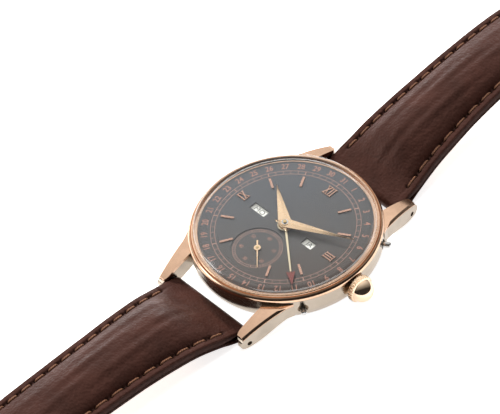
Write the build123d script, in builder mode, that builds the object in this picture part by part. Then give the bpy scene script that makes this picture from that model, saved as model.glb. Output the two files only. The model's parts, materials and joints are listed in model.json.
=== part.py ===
"""A round triple-calendar wristwatch with a padded leather strap, hand-wound.

Millimetres. +X points to three o'clock (the crown), +Y to twelve o'clock and +Z out of
the dial. The origin is the centre of the case back's outer face, on the surface that the
watch lies on.
"""
from build123d import *
from math import atan2, cos, degrees, pi, radians, sin, sqrt, tan
import os

os.makedirs("parts", exist_ok=True)

# ---------------------------------------------------------------- driving dimensions
# Case
BEZEL_R = 17.25
CASE_R = 17.15
CASE_BORE_R = 15.0
CASE_BOTTOM_Z = 1.2
CASE_TOP_Z = 5.9
BACK_R = 15.9
BACK_FLAT_R = 14.2
BACK_INNER_Z = 1.0
CRYSTAL_R = 16.15
CRYSTAL_WALL = 0.7
CRYSTAL_FOOT_Z = 6.66
LUG_IN = 9.1
LUG_TIP_Y = 21.5
LUG_CAP_T = 0.55
# Strap bars and strap
BAR_Y = 19.8
BAR_Z = 1.4
BAR_R = 0.7
BAR_PIN_R = 0.4
BAR_LOOP_R = 1.35
STRAP_T = 2.2
LINING_T = 0.8
STRAP_END_HALF = 8.9
BUCKLE_BAR_Y = 92.0
# Heights of the movement's layers, from the back to the dial
RATCHET_Z = 1.3
BRIDGE_Z = 1.6
BRIDGE_T = 0.8
PLATE_Z = 3.85
PLATE_T = 0.7
MOTION_Z = 4.6
CALENDAR_PLATE_Z = 5.2
CALENDAR_PLATE_T = 0.25
STAR_Z = 5.5
DISC_Z = 5.85
DISC_T = 0.39
DIAL_Z = 6.3
DIAL_T = 0.3
DIAL_TOP = DIAL_Z + DIAL_T
DIAL_R = 15.45
PLATE_R = 13.0
STEM_Z = 3.85
# Arbor positions of the going train
CENTRE = (0.0, 0.0)
THIRD = (-2.464, -3.548)
FOURTH = (0.0, -6.8)
ESCAPE = (-3.5, -7.86)
PALLET = (-5.9, -6.5)
BALANCE = (-8.3, -2.6)
BARREL = (3.2, 5.427)
CROWN_WHEEL = (6.198, 0.0)
MINUTE_WHEEL = (2.346, -0.507)
SETTING_WHEEL = (5.1, 0.0)
DAY_WHEEL_24H = (0.0, 5.76)
DAY_DISC = (-6.2, 4.1)
MONTH_DISC = (5.9, 4.4)
ARBOR_R = 0.2
JEWEL_R = 0.6
JEWEL_HOLE_R = 0.25
# Dial openings
DAY_WINDOW = (-6.3, -0.3, 3.6, 1.5)
MONTH_WINDOW = (6.0, -0.2, 2.5, 1.55)
SUB_DIAL = (0.0, -6.8)
SUB_DIAL_R = 4.75
# Directions of the hands, clockwise from twelve o'clock
HOUR_ANGLE = 304.8
MINUTE_ANGLE = 66.7
DATE_ANGLE = 129.0
SECONDS_ANGLE = 133.7
# Correctors
CORRECTOR_ANGLE = 34.5
CORRECTOR_Z = 4.1


# ------------------------------------------------------------------ shared geometry
def on(point, height):
    """Return a level workplane over a point of the movement."""
    return Plane(origin=(point[0], point[1], height))


def heading(start, end):
    """Return the direction from one point to another, in degrees."""
    return degrees(atan2(end[1] - start[1], end[0] - start[0]))


def polar(radius, angle):
    """Return the point at a radius and an angle in degrees."""
    return (radius * cos(radians(angle)), radius * sin(radians(angle)))


def mesh_phase(driver, phase, teeth, mate, mate_teeth):
    """Return the tooth angle of a mate whose gap receives the driver's tooth."""
    line = heading(driver, mate)
    return line + 180 - (phase - line) * teeth / mate_teeth + 180 / mate_teeth


def tooth_points(teeth, module, phase):
    """Return a toothed rim about the origin, four points to a tooth."""
    root = module * (teeth / 2 - 1.25)
    tip = module * (teeth / 2 + 0.95)
    pitch = 360 / teeth
    points = []
    for number in range(teeth):
        middle = phase + number * pitch
        points.append(polar(root, middle - 0.29 * pitch))
        points.append(polar(tip, middle - 0.11 * pitch))
        points.append(polar(tip, middle + 0.11 * pitch))
        points.append(polar(root, middle + 0.29 * pitch))
    return points


def add_gear(plane, thickness, teeth, module, phase=0.0):
    """Add a toothed disc to the part that is being built."""
    with BuildSketch(plane) as rim:
        with BuildLine():
            Polyline(*tooth_points(teeth, module, phase), close=True)
        make_face()
    extrude(rim.sketch, amount=thickness, dir=plane.z_dir)


def add_rod(centre, low, high, radius, mode=Mode.ADD):
    """Add an upright round rod to the part that is being built, or drill its hole."""
    with BuildSketch(on(centre, low)) as section:
        Circle(radius)
    extrude(section.sketch, amount=high - low, dir=(0, 0, 1), mode=mode)


def add_spiral(plane, height, outer_r, half_turns, step, thickness):
    """Add a flat coiled ribbon of half-circle arcs, each a step smaller than the last."""
    inner_x = outer_r - half_turns * step
    with BuildSketch(plane) as ribbon:
        with BuildLine():
            for edge in (thickness / 2, -thickness / 2):
                for number in range(half_turns):
                    odd = number % 2
                    CenterArc((-step * odd, 0), outer_r - number * step + edge, 180 * odd, 180)
            Line((outer_r - thickness / 2, 0), (outer_r + thickness / 2, 0))
            Line((inner_x - thickness / 2, 0), (inner_x + thickness / 2, 0))
        make_face()
    extrude(ribbon.sketch, amount=height, dir=(0, 0, 1))


def cut_crossings(centre, height, thickness, rim_r, hub_r, spokes=5, spoke_width=0.3):
    """Cut the windows between a wheel's spokes."""
    with BuildSketch(on(centre, height)) as windows:
        Circle(rim_r)
        Circle(hub_r, mode=Mode.SUBTRACT)
        with PolarLocations(0, spokes):
            with Locations((rim_r / 2, 0)):
                Rectangle(rim_r, spoke_width, mode=Mode.SUBTRACT)
    extrude(windows.sketch, amount=thickness, dir=(0, 0, 1), mode=Mode.SUBTRACT)


def dome(rim, top, axis_height):
    """Draw the arc from a rim point to a top on the axis, centred on the axis."""
    centre = (top ** 2 - axis_height ** 2 - rim ** 2) / (2 * (top - axis_height))
    radius = top - centre
    half_angle = atan2(rim, axis_height - centre) / 2
    middle = (radius * sin(half_angle), centre + radius * cos(half_angle))
    return ThreePointArc((rim, axis_height), middle, (0, top))


def add_plate(corners, height, thickness, radius=PLATE_R - 0.1):
    """Add the part of the movement's round plate that lies inside some corners."""
    with BuildSketch(Plane.XY.offset(height)) as outline:
        with BuildLine():
            Polyline(*corners, close=True)
        make_face()
        Circle(radius, mode=Mode.INTERSECT)
    extrude(outline.sketch, amount=thickness, dir=(0, 0, 1))


def write(piece, label):
    """Name a finished part and write its STEP file."""
    piece.part.label = label
    export_step(piece.part, f"parts/{label}.step")


# ----------------------------------------------------------------------------- case
LUG_TOP = [(11.0, 5.55), (14.0, 5.2), (18.0, 4.25), (LUG_TIP_Y - 0.6, 3.2)]
LUG_BOTTOM = [(LUG_TIP_Y - 0.9, 0.52), (18.5, 0.6), (15.5, 1.5), (11.0, 2.6)]
LUG_OUTLINE = [(LUG_IN, 10.5), (13.3, 11.0), (12.75, 12.2), (10.75, LUG_TIP_Y)]
LUG_TIP_IN = (10.05, LUG_TIP_Y)
LUG_NOSE = [(LUG_IN, 19.7), (9.33, 20.75)]
CAP_BEVEL = 0.36

with BuildPart() as lug:
    with BuildSketch(Plane.YZ.offset(LUG_IN)):
        with BuildLine():
            lug_roof = Spline(*[(y, z - LUG_CAP_T) for y, z in LUG_TOP])
            lug_floor = Spline(*LUG_BOTTOM)
            ThreePointArc(lug_roof @ 1, (LUG_TIP_Y, 1.5), lug_floor @ 0)
            Line(lug_floor @ 1, lug_roof @ 0)
        make_face()
    extrude(amount=5)
    with BuildSketch(Plane.XY) as lug_plan:
        with BuildLine():
            Polyline(LUG_NOSE[0], *LUG_OUTLINE, LUG_TIP_IN)
            ThreePointArc(LUG_TIP_IN, LUG_NOSE[1], LUG_NOSE[0])
        make_face()
    extrude(lug_plan.sketch, amount=8, mode=Mode.INTERSECT)

with BuildPart() as mid_case:
    with BuildSketch(Plane.XZ) as wall:
        with BuildLine():
            Line((CASE_BORE_R, CASE_BOTTOM_Z), (BACK_R + 0.1, CASE_BOTTOM_Z))
            ThreePointArc((BACK_R + 0.1, CASE_BOTTOM_Z), (16.85, 2.4), (CASE_R, CASE_TOP_Z - 1.2))
            Line((CASE_R, CASE_TOP_Z - 1.2), (CASE_R - 0.05, CASE_TOP_Z))
            Line((CASE_R - 0.05, CASE_TOP_Z), (CASE_BORE_R, CASE_TOP_Z))
            Line((CASE_BORE_R, CASE_TOP_Z), (CASE_BORE_R, CASE_BOTTOM_Z))
        make_face()
    revolve(axis=Axis.Z)
    add(lug.part)
    add(lug.part.mirror(Plane.XZ))
    add(lug.part.mirror(Plane.YZ))
    add(lug.part.mirror(Plane.XZ).mirror(Plane.YZ))
    add_rod(CENTRE, CASE_BOTTOM_Z - 1, CASE_TOP_Z + 1, CASE_BORE_R, mode=Mode.SUBTRACT)
    with BuildSketch(Plane.YZ.offset(-16)) as bar_holes:
        with Locations((BAR_Y, BAR_Z), (-BAR_Y, BAR_Z)):
            Circle(BAR_PIN_R + 0.05)
    extrude(bar_holes.sketch, amount=32, dir=(1, 0, 0), mode=Mode.SUBTRACT)
    with BuildSketch(Plane.YZ.offset(14)) as crown_hole:
        with Locations((0, STEM_Z)):
            Circle(1.05)
    extrude(crown_hole.sketch, amount=5, dir=(1, 0, 0), mode=Mode.SUBTRACT)
    for side in (-1, 1):
        direction = polar(1, side * CORRECTOR_ANGLE)
        with BuildSketch(Plane(origin=(*polar(14, side * CORRECTOR_ANGLE), CORRECTOR_Z),
                               z_dir=(*direction, 0))) as guide:
            Circle(0.62)
        extrude(guide.sketch, amount=5, dir=(*direction, 0), mode=Mode.SUBTRACT)
        with BuildSketch(Plane(origin=(*polar(16.6, side * CORRECTOR_ANGLE), CORRECTOR_Z),
                               z_dir=(*direction, 0))) as recess:
            Circle(0.95)
        extrude(recess.sketch, amount=2, dir=(*direction, 0), mode=Mode.SUBTRACT)
write(mid_case, "mid_case")

with BuildPart() as lug_caps:
    with BuildSketch(Plane.YZ.offset(LUG_IN)):
        with BuildLine():
            cap_roof = Spline(*LUG_TOP)
            cap_floor = Spline(*[(y, z - LUG_CAP_T + 0.02) for y, z in LUG_TOP])
            Line(cap_roof @ 1, cap_floor @ 1)
            Line(cap_floor @ 0, cap_roof @ 0)
        make_face()
    extrude(amount=5)
    with BuildSketch(Plane.XY) as cap_plan:
        with BuildLine():
            Polyline(LUG_NOSE[0], (LUG_IN, 14.0), (LUG_IN + 1.5, 11.5), *LUG_OUTLINE[1:], LUG_TIP_IN)
            ThreePointArc(LUG_TIP_IN, LUG_NOSE[1], LUG_NOSE[0])
        make_face()
    extrude(cap_plan.sketch, amount=8, mode=Mode.INTERSECT)
    cap_top = lug_caps.faces().sort_by(lambda face: face.normal_at().Z)[-1]
    chamfer(cap_top.edges().sort_by(SortBy.LENGTH)[-1], CAP_BEVEL)
    add_rod(CENTRE, 0, 8, CASE_R + 0.02, mode=Mode.SUBTRACT)
    mirror(about=Plane.XZ)
    mirror(about=Plane.YZ)
write(lug_caps, "lug_caps")

with BuildPart() as bezel:
    with BuildSketch(Plane.XZ) as bezel_section:
        with BuildLine():
            Line((DIAL_R + 0.05, CASE_TOP_Z), (17.05, CASE_TOP_Z))
            Line((17.05, CASE_TOP_Z), (BEZEL_R, 6.1))
            ThreePointArc((BEZEL_R, 6.1), (17.16, 6.55), (16.78, 6.92))
            Line((16.78, 6.92), (16.62, 6.78))
            Line((16.62, 6.78), (16.56, 7.08))
            ThreePointArc((16.56, 7.08), (16.4, 7.22), (16.2, 7.16))
            Line((16.2, 7.16), (16.2, CRYSTAL_FOOT_Z - 0.02))
            Line((16.2, CRYSTAL_FOOT_Z - 0.02), (DIAL_R + 0.05, CRYSTAL_FOOT_Z - 0.02))
            Line((DIAL_R + 0.05, CRYSTAL_FOOT_Z - 0.02), (DIAL_R + 0.05, CASE_TOP_Z))
        make_face()
    revolve(axis=Axis.Z)
write(bezel, "bezel")

with BuildPart() as crystal:
    with BuildSketch(Plane.XZ):
        with BuildLine():
            Line((CRYSTAL_R - CRYSTAL_WALL, CRYSTAL_FOOT_Z), (CRYSTAL_R, CRYSTAL_FOOT_Z))
            Line((CRYSTAL_R, CRYSTAL_FOOT_Z), (CRYSTAL_R, 7.75))
            ThreePointArc((CRYSTAL_R, 7.75), (15.9, 8.3), (15.35, 8.55))
            dome(15.35, 10.15, 8.55)
            Line((0, 10.15), (0, 9.35))
            dome(14.9, 9.35, 7.85)
            Line((14.9, 7.85), (CRYSTAL_R - CRYSTAL_WALL, 7.5))
            Line((CRYSTAL_R - CRYSTAL_WALL, 7.5), (CRYSTAL_R - CRYSTAL_WALL, CRYSTAL_FOOT_Z))
        make_face()
    revolve(axis=Axis.Z)
write(crystal, "crystal")

with BuildPart() as case_back:
    with BuildSketch(Plane.XZ):
        with BuildLine():
            Line((0, 0), (BACK_FLAT_R, 0))
            ThreePointArc((BACK_FLAT_R, 0), (15.3, 0.35), (BACK_R, CASE_BOTTOM_Z))
            Line((BACK_R, CASE_BOTTOM_Z), (15.5, CASE_BOTTOM_Z))
            Line((15.5, CASE_BOTTOM_Z), (15.5, 1.0))
            Line((15.5, 1.0), (15.1, 1.0))
            Line((15.1, 1.0), (15.1, CASE_BOTTOM_Z))
            Line((15.1, CASE_BOTTOM_Z), (CASE_BORE_R - 0.03, CASE_BOTTOM_Z))
            Line((CASE_BORE_R - 0.03, CASE_BOTTOM_Z), (CASE_BORE_R - 0.03, 1.55))
            Line((CASE_BORE_R - 0.03, 1.55), (14.1, 1.55))
            Line((14.1, 1.55), (14.1, BACK_INNER_Z))
            Line((14.1, BACK_INNER_Z), (0, BACK_INNER_Z))
            Line((0, BACK_INNER_Z), (0, 0))
        make_face()
    revolve(axis=Axis.Z)
write(case_back, "case_back")

with BuildPart() as case_back_gasket:
    with BuildSketch(Plane.XY.offset(1.01)):
        Circle(15.48)
        Circle(15.12, mode=Mode.SUBTRACT)
    extrude(amount=0.18)
write(case_back_gasket, "case_back_gasket")

with BuildPart() as movement_ring:
    with BuildSketch(Plane.XY.offset(BRIDGE_Z)):
        Circle(CASE_BORE_R - 0.03)
        Circle(PLATE_R + 0.05, mode=Mode.SUBTRACT)
    extrude(amount=DIAL_Z - 0.01 - BRIDGE_Z)
    with BuildSketch(Plane.YZ.offset(12)) as stem_passage:
        with Locations((0, STEM_Z)):
            Circle(1.05)
    extrude(stem_passage.sketch, amount=4, dir=(1, 0, 0), mode=Mode.SUBTRACT)
    for side in (-1, 1):
        direction = polar(1, side * CORRECTOR_ANGLE)
        with BuildSketch(Plane(origin=(*polar(12.5, side * CORRECTOR_ANGLE), CORRECTOR_Z),
                               z_dir=(*direction, 0))) as guide:
            Circle(1.0)
        extrude(guide.sketch, amount=3, dir=(*direction, 0), mode=Mode.SUBTRACT)
write(movement_ring, "movement_ring")

with BuildPart() as spring_bars:
    for end in (-1, 1):
        with BuildSketch(Plane.YZ) as bar_section:
            with Locations((end * BAR_Y, BAR_Z)):
                Circle(BAR_R)
        extrude(bar_section.sketch, amount=LUG_IN - 0.1, dir=(1, 0, 0), both=True)
        with BuildSketch(Plane.YZ) as pin_section:
            with Locations((end * BAR_Y, BAR_Z)):
                Circle(BAR_PIN_R)
        extrude(pin_section.sketch, amount=LUG_IN + 1.2, dir=(1, 0, 0), both=True)
write(spring_bars, "spring_bars")


# ----------------------------------------------------------------------------- dial
with BuildPart() as dial:
    with BuildSketch(Plane.XY.offset(DIAL_Z)):
        Circle(DIAL_R)
        Circle(1.22, mode=Mode.SUBTRACT)
        with Locations(SUB_DIAL):
            Circle(0.36, mode=Mode.SUBTRACT)
        for x, y, width, height in (DAY_WINDOW, MONTH_WINDOW):
            with Locations((x, y)):
                Rectangle(width, height, mode=Mode.SUBTRACT)
    extrude(amount=DIAL_T)
    add_rod(SUB_DIAL, DIAL_TOP - 0.12, DIAL_TOP + 1, SUB_DIAL_R, mode=Mode.SUBTRACT)
write(dial, "dial")

BATON_R = 10.68
BATON_LENGTH = 2.4
NUMERAL_R = 10.85
NUMERAL_LENGTH = 1.95
MARKER_T = 0.18
STROKE = 0.21

with BuildPart() as hour_markers:
    for hour in (1, 2, 4, 5, 7, 8, 10, 11):
        with BuildSketch(Plane.XY.offset(DIAL_TOP).rotated((0, 0, -30 * hour))) as baton:
            with Locations((0, BATON_R)):
                Rectangle(0.42, BATON_LENGTH)
        extrude(baton.sketch, amount=MARKER_T, dir=(0, 0, 1))
    numerals = {12: (["X"], 2), 3: ([], 3), 9: (["X"], 1)}
    for hour, (crosses, bars) in numerals.items():
        cross_width = 1.05
        pitch = 0.5
        total = len(crosses) * cross_width + bars * pitch
        with BuildSketch(Plane.XY.offset(DIAL_TOP).rotated((0, 0, -30 * hour))) as numeral:
            cursor = -total / 2
            bars_first = hour == 9
            if bars_first:
                for number in range(bars):
                    with Locations((cursor + pitch * (number + 0.5), NUMERAL_R)):
                        Rectangle(STROKE, NUMERAL_LENGTH)
                cursor += bars * pitch
            for cross in crosses:
                for lean in (-1, 1):
                    with Locations(Location((cursor + cross_width / 2, NUMERAL_R), lean * 21)):
                        Rectangle(0.13 + 0.05 * (1 - lean), NUMERAL_LENGTH * 1.02)
                cursor += cross_width
            if not bars_first:
                for number in range(bars):
                    with Locations((cursor + pitch * (number + 0.5), NUMERAL_R)):
                        Rectangle(STROKE, NUMERAL_LENGTH)
            for end in (-1, 1):
                with Locations((0, NUMERAL_R + end * (NUMERAL_LENGTH / 2 - 0.05))):
                    Rectangle(total, 0.1)
        extrude(numeral.sketch, amount=MARKER_T, dir=(0, 0, 1))
write(hour_markers, "hour_markers")


# ---------------------------------------------------------------------------- hands
def kite(length, width, tail, widest):
    """Return a dauphine hand's corners, pointing along +Y."""
    return [(0, length), (width / 2, widest), (0, -tail), (-width / 2, widest)]


def add_dauphine(height, angle, length, width, tail, ridge):
    """Add a dauphine blade, faceted to a ridge along its middle."""
    base = Plane.XY.offset(height).rotated((0, 0, -angle))
    with BuildSketch(base) as foot:
        with BuildLine():
            Polyline(*kite(length, width, tail, 0.2), close=True)
        make_face()
    crest = Plane.XY.offset(height + ridge).rotated((0, 0, -angle))
    with BuildSketch(crest) as edge:
        with BuildLine():
            Polyline(*kite(length * 0.985, 0.1, tail * 0.9, 0.2), close=True)
        make_face()
    loft([foot.sketch.face(), edge.sketch.face()])


MINUTE_HAND_Z = 7.52
HOUR_HAND_Z = 7.2
DATE_HAND_Z = 6.92
SECONDS_HAND_Z = 6.64

with BuildPart() as minute_hand:
    add_dauphine(MINUTE_HAND_Z, MINUTE_ANGLE, 13.2, 2.0, 2.0, 0.2)
    add_rod(CENTRE, MINUTE_HAND_Z, MINUTE_HAND_Z + 0.22, 0.72)
    add_rod(CENTRE, MINUTE_HAND_Z - 0.1, MINUTE_HAND_Z + 1, 0.62, mode=Mode.SUBTRACT)
write(minute_hand, "minute_hand")

with BuildPart() as hour_hand:
    add_dauphine(HOUR_HAND_Z, HOUR_ANGLE, 10.0, 2.4, 2.0, 0.18)
    add_rod(CENTRE, HOUR_HAND_Z, HOUR_HAND_Z + 0.2, 1.05)
    add_rod(CENTRE, HOUR_HAND_Z - 0.1, HOUR_HAND_Z + 1, 0.87, mode=Mode.SUBTRACT)
write(hour_hand, "hour_hand")

with BuildPart() as date_hand:
    date_plane = Plane.XY.offset(DATE_HAND_Z).rotated((0, 0, -DATE_ANGLE))
    with BuildSketch(date_plane):
        Circle(1.4)
        with BuildLine():
            Polyline((-0.2, 0), (-0.14, 11.4), (0.14, 11.4), (0.2, 0), close=True)
        make_face()
        with BuildLine():
            Polyline((-0.8, 11.0), (0, 11.35), (0.8, 11.0), (0, 14.1), close=True)
        make_face()
        Circle(1.17, mode=Mode.SUBTRACT)
    extrude(amount=0.12)
write(date_hand, "date_hand")

with BuildPart() as seconds_hand:
    seconds_plane = Plane(origin=(*FOURTH, SECONDS_HAND_Z)).rotated((0, 0, -SECONDS_ANGLE))
    with BuildSketch(seconds_plane):
        Circle(0.62)
        with BuildLine():
            Polyline((-0.16, -1.7), (-0.05, 4.6), (0.05, 4.6), (0.16, -1.7), close=True)
        make_face()
        Circle(0.26, mode=Mode.SUBTRACT)
    extrude(amount=0.12)
write(seconds_hand, "seconds_hand")


# ------------------------------------------------------------------- movement plates
PLATE_WINDOW = (5.95, 9.75, 1.85)
TRAIN_PIVOTS = (CENTRE, THIRD, FOURTH, ESCAPE)
BARREL_FEET = ((-4.5, 5.0), (-1.5, 11.5), (8.2, -3.6))
TRAIN_FEET = ((4.2, -5.4), (3.5, -10.9), (-4.6, -11.3))
PALLET_FOOT = (-7.4, -8.2)
COCK_FOOT = (-8.4, 3.6)
CALENDAR_FEET = ((-9.5, -6.5), (-7.5, 9.3), (8.0, -8.5))
SETTING_PIVOT = (10.2, -2.6)
YOKE_PIVOT = (6.3, -3.9)
CLICK_PIVOT = (-0.9, 8.6)
FOOT_R = 0.75
SCREW_R = 0.4

with BuildPart() as main_plate:
    add_rod(CENTRE, PLATE_Z, PLATE_Z + PLATE_T, PLATE_R)
    with BuildSketch(Plane.XY.offset(PLATE_Z)) as keyless_window:
        with Locations(((PLATE_WINDOW[0] + PLATE_WINDOW[1]) / 2, 0)):
            Rectangle(PLATE_WINDOW[1] - PLATE_WINDOW[0], 2 * PLATE_WINDOW[2])
        with Locations((10.95, 0)):
            Rectangle(1.9, 1.3)
    extrude(keyless_window.sketch, amount=PLATE_T, dir=(0, 0, 1), mode=Mode.SUBTRACT)
    with BuildSketch(Plane.YZ.offset(4.9)) as stem_channel:
        with Locations((0, STEM_Z)):
            Circle(0.36)
    extrude(stem_channel.sketch, amount=9, dir=(1, 0, 0), mode=Mode.SUBTRACT)
    with BuildSketch(Plane.YZ.offset(9.5)) as stem_groove:
        with Locations((0, STEM_Z)):
            Circle(0.56)
    extrude(stem_groove.sketch, amount=4, dir=(1, 0, 0), mode=Mode.SUBTRACT)
    for pivot in (THIRD, FOURTH, ESCAPE, PALLET, BALANCE):
        add_rod(pivot, PLATE_Z - 1, PLATE_Z + 2, JEWEL_R, mode=Mode.SUBTRACT)
    add_rod(CENTRE, PLATE_Z - 1, PLATE_Z + 2, JEWEL_R, mode=Mode.SUBTRACT)
    add_rod(BARREL, PLATE_Z - 1, PLATE_Z + 2, 0.85, mode=Mode.SUBTRACT)
    for foot in CALENDAR_FEET:
        add_rod(foot, PLATE_Z + PLATE_T, CALENDAR_PLATE_Z, FOOT_R)
    add_rod(MINUTE_WHEEL, PLATE_Z + PLATE_T, 5.15, 0.18)
    add_rod(SETTING_WHEEL, PLATE_Z + PLATE_T, 4.95, 0.3)
    for pivot in (SETTING_PIVOT, YOKE_PIVOT):
        add_rod(pivot, PLATE_Z + PLATE_T, 4.95, 0.3)
write(main_plate, "main_plate")

RATCHET_TEETH = 36
CROWN_TEETH = 26
WINDING_MODULE = 0.2

BARREL_BRIDGE = [(-5.4, 13), (13, 13), (13, -4.6), (6.6, -4.6), (3.9, -2.9), (2.4, -1.7),
                 (-2.6, -1.7), (-5.4, 2.0)]
with BuildPart() as barrel_bridge:
    add_plate(BARREL_BRIDGE, BRIDGE_Z, BRIDGE_T)
    for foot in BARREL_FEET:
        add_rod(foot, BRIDGE_Z + BRIDGE_T, PLATE_Z, FOOT_R)
        add_rod(foot, BRIDGE_Z, BRIDGE_Z + 1.2, SCREW_R + 0.02, mode=Mode.SUBTRACT)
    add_rod(CENTRE, BRIDGE_Z - 1, BRIDGE_Z + 2, JEWEL_R, mode=Mode.SUBTRACT)
    add_rod(BARREL, BRIDGE_Z - 1, BRIDGE_Z + 2, 0.95, mode=Mode.SUBTRACT)
    add_rod(CROWN_WHEEL, BRIDGE_Z, 2.24, 2.95, mode=Mode.SUBTRACT)
    add_rod(CROWN_WHEEL, 1.32, BRIDGE_Z + BRIDGE_T, 0.7)
    with BuildSketch(Plane.XY.offset(BRIDGE_Z - 0.5)) as pinion_gap:
        with Locations((8.75, 0)):
            Rectangle(1.5, 2.4)
    extrude(pinion_gap.sketch, amount=2, dir=(0, 0, 1), mode=Mode.SUBTRACT)
    add_rod(CLICK_PIVOT, 1.28, BRIDGE_Z, 0.3)
write(barrel_bridge, "barrel_bridge")

TRAIN_BRIDGE = [(-2.9, -1.95), (1.5, -1.95), (3.2, -3.3), (5.45, -4.7), (5.45, -13), (-6, -13),
                (-5.0, -8.9), (-4.4, -7.2), (-3.9, -5.0)]
with BuildPart() as train_bridge:
    add_plate(TRAIN_BRIDGE, BRIDGE_Z, BRIDGE_T)
    for foot in TRAIN_FEET:
        add_rod(foot, BRIDGE_Z + BRIDGE_T, PLATE_Z, FOOT_R)
        add_rod(foot, BRIDGE_Z, BRIDGE_Z + 1.2, SCREW_R + 0.02, mode=Mode.SUBTRACT)
    for pivot in (THIRD, FOURTH, ESCAPE):
        add_rod(pivot, BRIDGE_Z - 1, BRIDGE_Z + 2, JEWEL_R, mode=Mode.SUBTRACT)
write(train_bridge, "train_bridge")


def add_cock(pivot, foot, pivot_r, foot_r):
    """Add a one-footed cock that runs from a foot to a pivot."""
    along = heading(pivot, foot)
    across = along + 90
    corners = []
    for centre, radius, side in ((pivot, pivot_r, 1), (foot, foot_r, 1),
                                 (foot, foot_r, -1), (pivot, pivot_r, -1)):
        step = polar(side * radius, across)
        corners.append((centre[0] + step[0], centre[1] + step[1]))
    with BuildSketch(Plane.XY.offset(BRIDGE_Z)) as arm:
        with BuildLine():
            Polyline(*corners, close=True)
        make_face()
        with Locations(pivot):
            Circle(pivot_r)
        with Locations(foot):
            Circle(foot_r)
    extrude(arm.sketch, amount=BRIDGE_T, dir=(0, 0, 1))
    add_rod(foot, BRIDGE_Z + BRIDGE_T, PLATE_Z, foot_r)
    add_rod(foot, BRIDGE_Z, BRIDGE_Z + 1.2, SCREW_R + 0.02, mode=Mode.SUBTRACT)
    add_rod(pivot, BRIDGE_Z - 1, BRIDGE_Z + 1.5, JEWEL_R, mode=Mode.SUBTRACT)


with BuildPart() as pallet_bridge:
    add_cock(PALLET, PALLET_FOOT, 0.85, 0.75)
write(pallet_bridge, "pallet_bridge")

HAIRSPRING_STUD = (BALANCE[0], BALANCE[1] + 2.35)
with BuildPart() as balance_cock:
    add_cock(BALANCE, COCK_FOOT, 1.1, 1.3)
    add_rod(HAIRSPRING_STUD, BRIDGE_Z + BRIDGE_T, 2.68, 0.16)
write(balance_cock, "balance_cock")

with BuildPart() as calendar_plate:
    add_rod(CENTRE, CALENDAR_PLATE_Z, CALENDAR_PLATE_Z + CALENDAR_PLATE_T, PLATE_R - 0.05)
    add_rod(CENTRE, 4, 7, 1.3, mode=Mode.SUBTRACT)
    add_rod(FOURTH, 4, 7, 0.6, mode=Mode.SUBTRACT)
    add_rod(DAY_WHEEL_24H, 4, 7, 0.45, mode=Mode.SUBTRACT)
    with BuildSketch(Plane.XY.offset(4)) as pinion_window:
        with Locations((8.75, 0)):
            Rectangle(1.9, 2.6)
    extrude(pinion_window.sketch, amount=3, dir=(0, 0, 1), mode=Mode.SUBTRACT)
    add_rod(DAY_DISC, CALENDAR_PLATE_Z + CALENDAR_PLATE_T, 5.98, 0.3)
    add_rod(MONTH_DISC, CALENDAR_PLATE_Z + CALENDAR_PLATE_T, 5.98, 0.3)
write(calendar_plate, "calendar_plate")

with BuildPart() as jewels:
    for pivot in (CENTRE, THIRD, FOURTH, ESCAPE, PALLET, BALANCE):
        inner = 0.36 if pivot == CENTRE else JEWEL_HOLE_R
        plate_inner = 0.36 if pivot in (CENTRE, FOURTH) else JEWEL_HOLE_R
        with BuildSketch(on(pivot, BRIDGE_Z + 0.1)) as bridge_jewel:
            Circle(JEWEL_R - 0.01)
            Circle(inner, mode=Mode.SUBTRACT)
        extrude(bridge_jewel.sketch, amount=0.4, dir=(0, 0, 1))
        with BuildSketch(on(pivot, PLATE_Z + 0.1)) as plate_jewel:
            Circle(JEWEL_R - 0.01)
            Circle(plate_inner, mode=Mode.SUBTRACT)
        extrude(plate_jewel.sketch, amount=0.4, dir=(0, 0, 1))
write(jewels, "jewels")

with BuildPart() as bridge_screws:
    for foot in (*BARREL_FEET, *TRAIN_FEET, PALLET_FOOT, COCK_FOOT):
        add_rod(foot, 1.25, BRIDGE_Z, 0.65)
        add_rod(foot, BRIDGE_Z, BRIDGE_Z + 1.15, SCREW_R)
        with BuildSketch(on(foot, 1.25)) as slot:
            Rectangle(2, 0.18, rotation=25)
        extrude(slot.sketch, amount=0.15, dir=(0, 0, 1), mode=Mode.SUBTRACT)
write(bridge_screws, "bridge_screws")


# ------------------------------------------------------------------- barrel and train
TRAIN_MODULE = 0.12
BARREL_MODULE = 0.15
ESCAPE_MODULE = 0.095
CENTRE_TEETH = 64
THIRD_TEETH = 60
FOURTH_TEETH = 70
BARREL_TEETH = 72
CENTRE_LEAVES = 12
TRAIN_LEAVES = 8
ESCAPE_LEAVES = 7
PIVOT_LOW = 1.65
PIVOT_HIGH = 4.4
BARREL_Z = 2.85
BARREL_T = 0.93
DRUM_R = 5.0
DRUM_WALL = 0.25
BARREL_HUB_R = 0.8

with BuildPart() as barrel_drum:
    add_rod(BARREL, BARREL_Z, BARREL_Z + BARREL_T, DRUM_R)
    add_gear(on(BARREL, 3.05), 0.33, BARREL_TEETH, BARREL_MODULE, heading(BARREL, CENTRE))
    add_rod(BARREL, BARREL_Z + 0.15, BARREL_Z + BARREL_T - 0.15, DRUM_R - DRUM_WALL,
            mode=Mode.SUBTRACT)
    add_rod(BARREL, 2, 5, BARREL_HUB_R + 0.05, mode=Mode.SUBTRACT)
write(barrel_drum, "barrel_drum")

with BuildPart() as mainspring:
    add_spiral(on(BARREL, BARREL_Z + 0.2), 0.5, 4.6, 14, 0.17, 0.1)
write(mainspring, "mainspring")

with BuildPart() as barrel_arbor:
    add_rod(BARREL, RATCHET_Z, 4.5, BARREL_HUB_R)
    add_rod(BARREL, BARREL_Z + 0.2, BARREL_Z + BARREL_T - 0.2, 2.0)
write(barrel_arbor, "barrel_arbor")

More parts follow.
